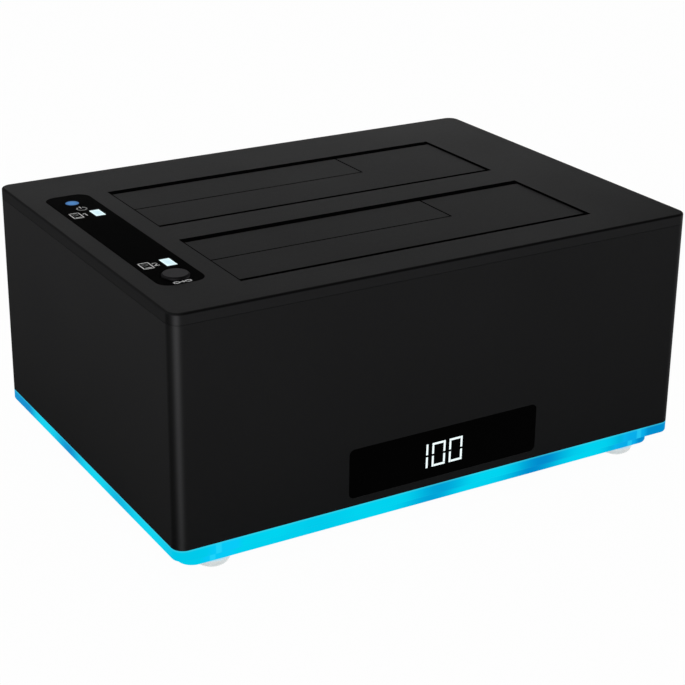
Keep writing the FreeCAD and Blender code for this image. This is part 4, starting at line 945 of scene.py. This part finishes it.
strip_lines = moved(POWER_SIGN, *POWER_AT, POWER_SCALE) + moved(COPY, *COPY_AT)
for figure, y in ((ONE, SOURCE_FROM_FRONT), (TWO, TARGET_FROM_FRONT)):
    strip_lines += moved(DRIVE, DRIVE_FROM_LEFT, y) + moved(figure, NUMBER_FROM_LEFT, y - NUMBER_DROP)
print_marks("strip_marks", strip_lines, PEN, "control_panel", above_case, (0, 0, -1), "case")

# %% Switch and ports
DIRECT_CURRENT = [[(-1.6, 0.45), (1.6, 0.45)], [(-1.6, -0.45), (-0.8, -0.45)],
                  [(-0.4, -0.45), (0.4, -0.45)], [(0.8, -0.45), (1.6, -0.45)]]
ARROWS = [[(-1.6, 0.5), (1.3, 0.5)], [(0.7, 1.0), (1.5, 0.5)], [(1.6, -0.5), (-1.3, -0.5)],
          [(-0.7, -1.0), (-1.5, -0.5)]]
ON = [[(0, -0.55), (0, 0.55)]]
OFF = [arc(0, 0, 0.6, 0, 360)]
FINE_PEN, MARK_ABOVE_PORT, ROCKER_MARK = 0.26, 7.2, 1.35


def behind(node):
    """Rays from behind onto a part; u runs to its left as seen from behind, from its middle."""
    low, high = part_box(node)
    middle = (low + high) / 2
    return lambda u, v: Vector((middle.x - u * MM, high.y + CLEAR, middle.z + v * MM))


print_marks("rocker_marks", moved(ON, 0, ROCKER_MARK) + moved(OFF, 0, -ROCKER_MARK), FINE_PEN,
            "power_rocker", behind("power_rocker"), (0, -1, 0), "power_rocker")
for node, lines in (("power_inlet", DIRECT_CURRENT), ("data_port", ARROWS)):
    print_marks(node + "_mark", moved(lines, 0, MARK_ABOVE_PORT), PEN, "main_housing", behind(node),
                (0, -1, 0), "case")

# %% [markdown]
# ## Studio
# The floor is plain and pale. To the camera, and in reflections, most of its brightness is fixed at
# white, and the rest is lit, so the object's shadow stays as a soft grey. The world is a dim room, darker
# near the horizon than overhead, because a black case on a white floor is lit best by large soft lamps
# above it.

# %% Floor
FLOOR_REACH, FLOOR_BELOW, WHITE_SHARE = 6.0, 0.1 * MM, 0.98


def pale_floor():
    finish = Finish("pale_floor")
    path = finish.node("LightPath", output="Is Camera Ray")
    glossy = finish.node("LightPath", output="Is Glossy Ray")
    through = finish.node("LightPath", output="Is Transmission Ray")
    seen = (path + glossy + through).least(1.0)
    lit = finish.node("BsdfDiffuse", {}, {"Color": grey(0.70)})
    white = finish.node("Emission", {}, {"Color": grey(1.0), "Strength": 1.0})
    shader = finish.node("MixShader", {}, {0: seen * WHITE_SHARE, 1: lit, 2: white})
    finish.node("OutputMaterial", {}, {"Surface": shader})
    return finish.owner


floor_mesh = bpy.data.meshes.new("floor")
corners = [(x * FLOOR_REACH, y * FLOOR_REACH, 0) for x, y in ((-1, -1), (1, -1), (1, 1), (-1, 1))]
floor_mesh.from_pydata(corners, [], [(0, 1, 2, 3)])
floor_mesh.materials.append(pale_floor())
floor = bpy.data.objects.new("floor", floor_mesh)
bpy.context.scene.collection.objects.link(floor)
floor.location.z = cad_box[0][2] - FLOOR_BELOW
print("floor at", round(floor.location.z, 5))

# %% World
room = Finish("studio_room", bpy.data.worlds.new("studio_room"))
height = room.node("SeparateXYZ", {}, {0: room.node("TexCoord")}, "Z")
shade = room.node("ValToRGB", {"stops": [(0.0, grey(0.05)), (0.35, grey(0.08)), (1.0, grey(0.60))]},
                  {0: height})
room.node("OutputWorld", {}, {0: room.node("Background", {}, {0: shade})})
bpy.context.scene.world = room.owner
print("room light:", len(room.tree.nodes), "nodes")


# %% Lamps
def softbox(name, place, target, width, height, power):
    """A flat lamp that faces a point."""
    data = bpy.data.lights.new(name, "AREA")
    data.shape = "RECTANGLE"
    data.size, data.size_y = width, height
    data.energy = power
    lamp = bpy.data.objects.new(name, data)
    bpy.context.scene.collection.objects.link(lamp)
    lamp.location = place
    lamp.rotation_euler = (Vector(target) - Vector(place)).to_track_quat("-Z", "Y").to_euler()


middle = (0, 0, 0.04)
softbox("overhead", (0.0, 0.0, 1.3), middle, 1.2, 0.9, 5.5)
softbox("low_back", (0.60, 1.25, 0.28), (0, 0.03, 0.07), 1.0, 0.2, 0.75)
softbox("front_fill", (-0.35, -1.3, 1.0), middle, 0.9, 0.6, 2.2)

# %% [markdown] ## Close The box of the CAD parts was measured before anything was added. The box of everything that shows should agree closely with it, because whoever uses the model trusts the CAD size.
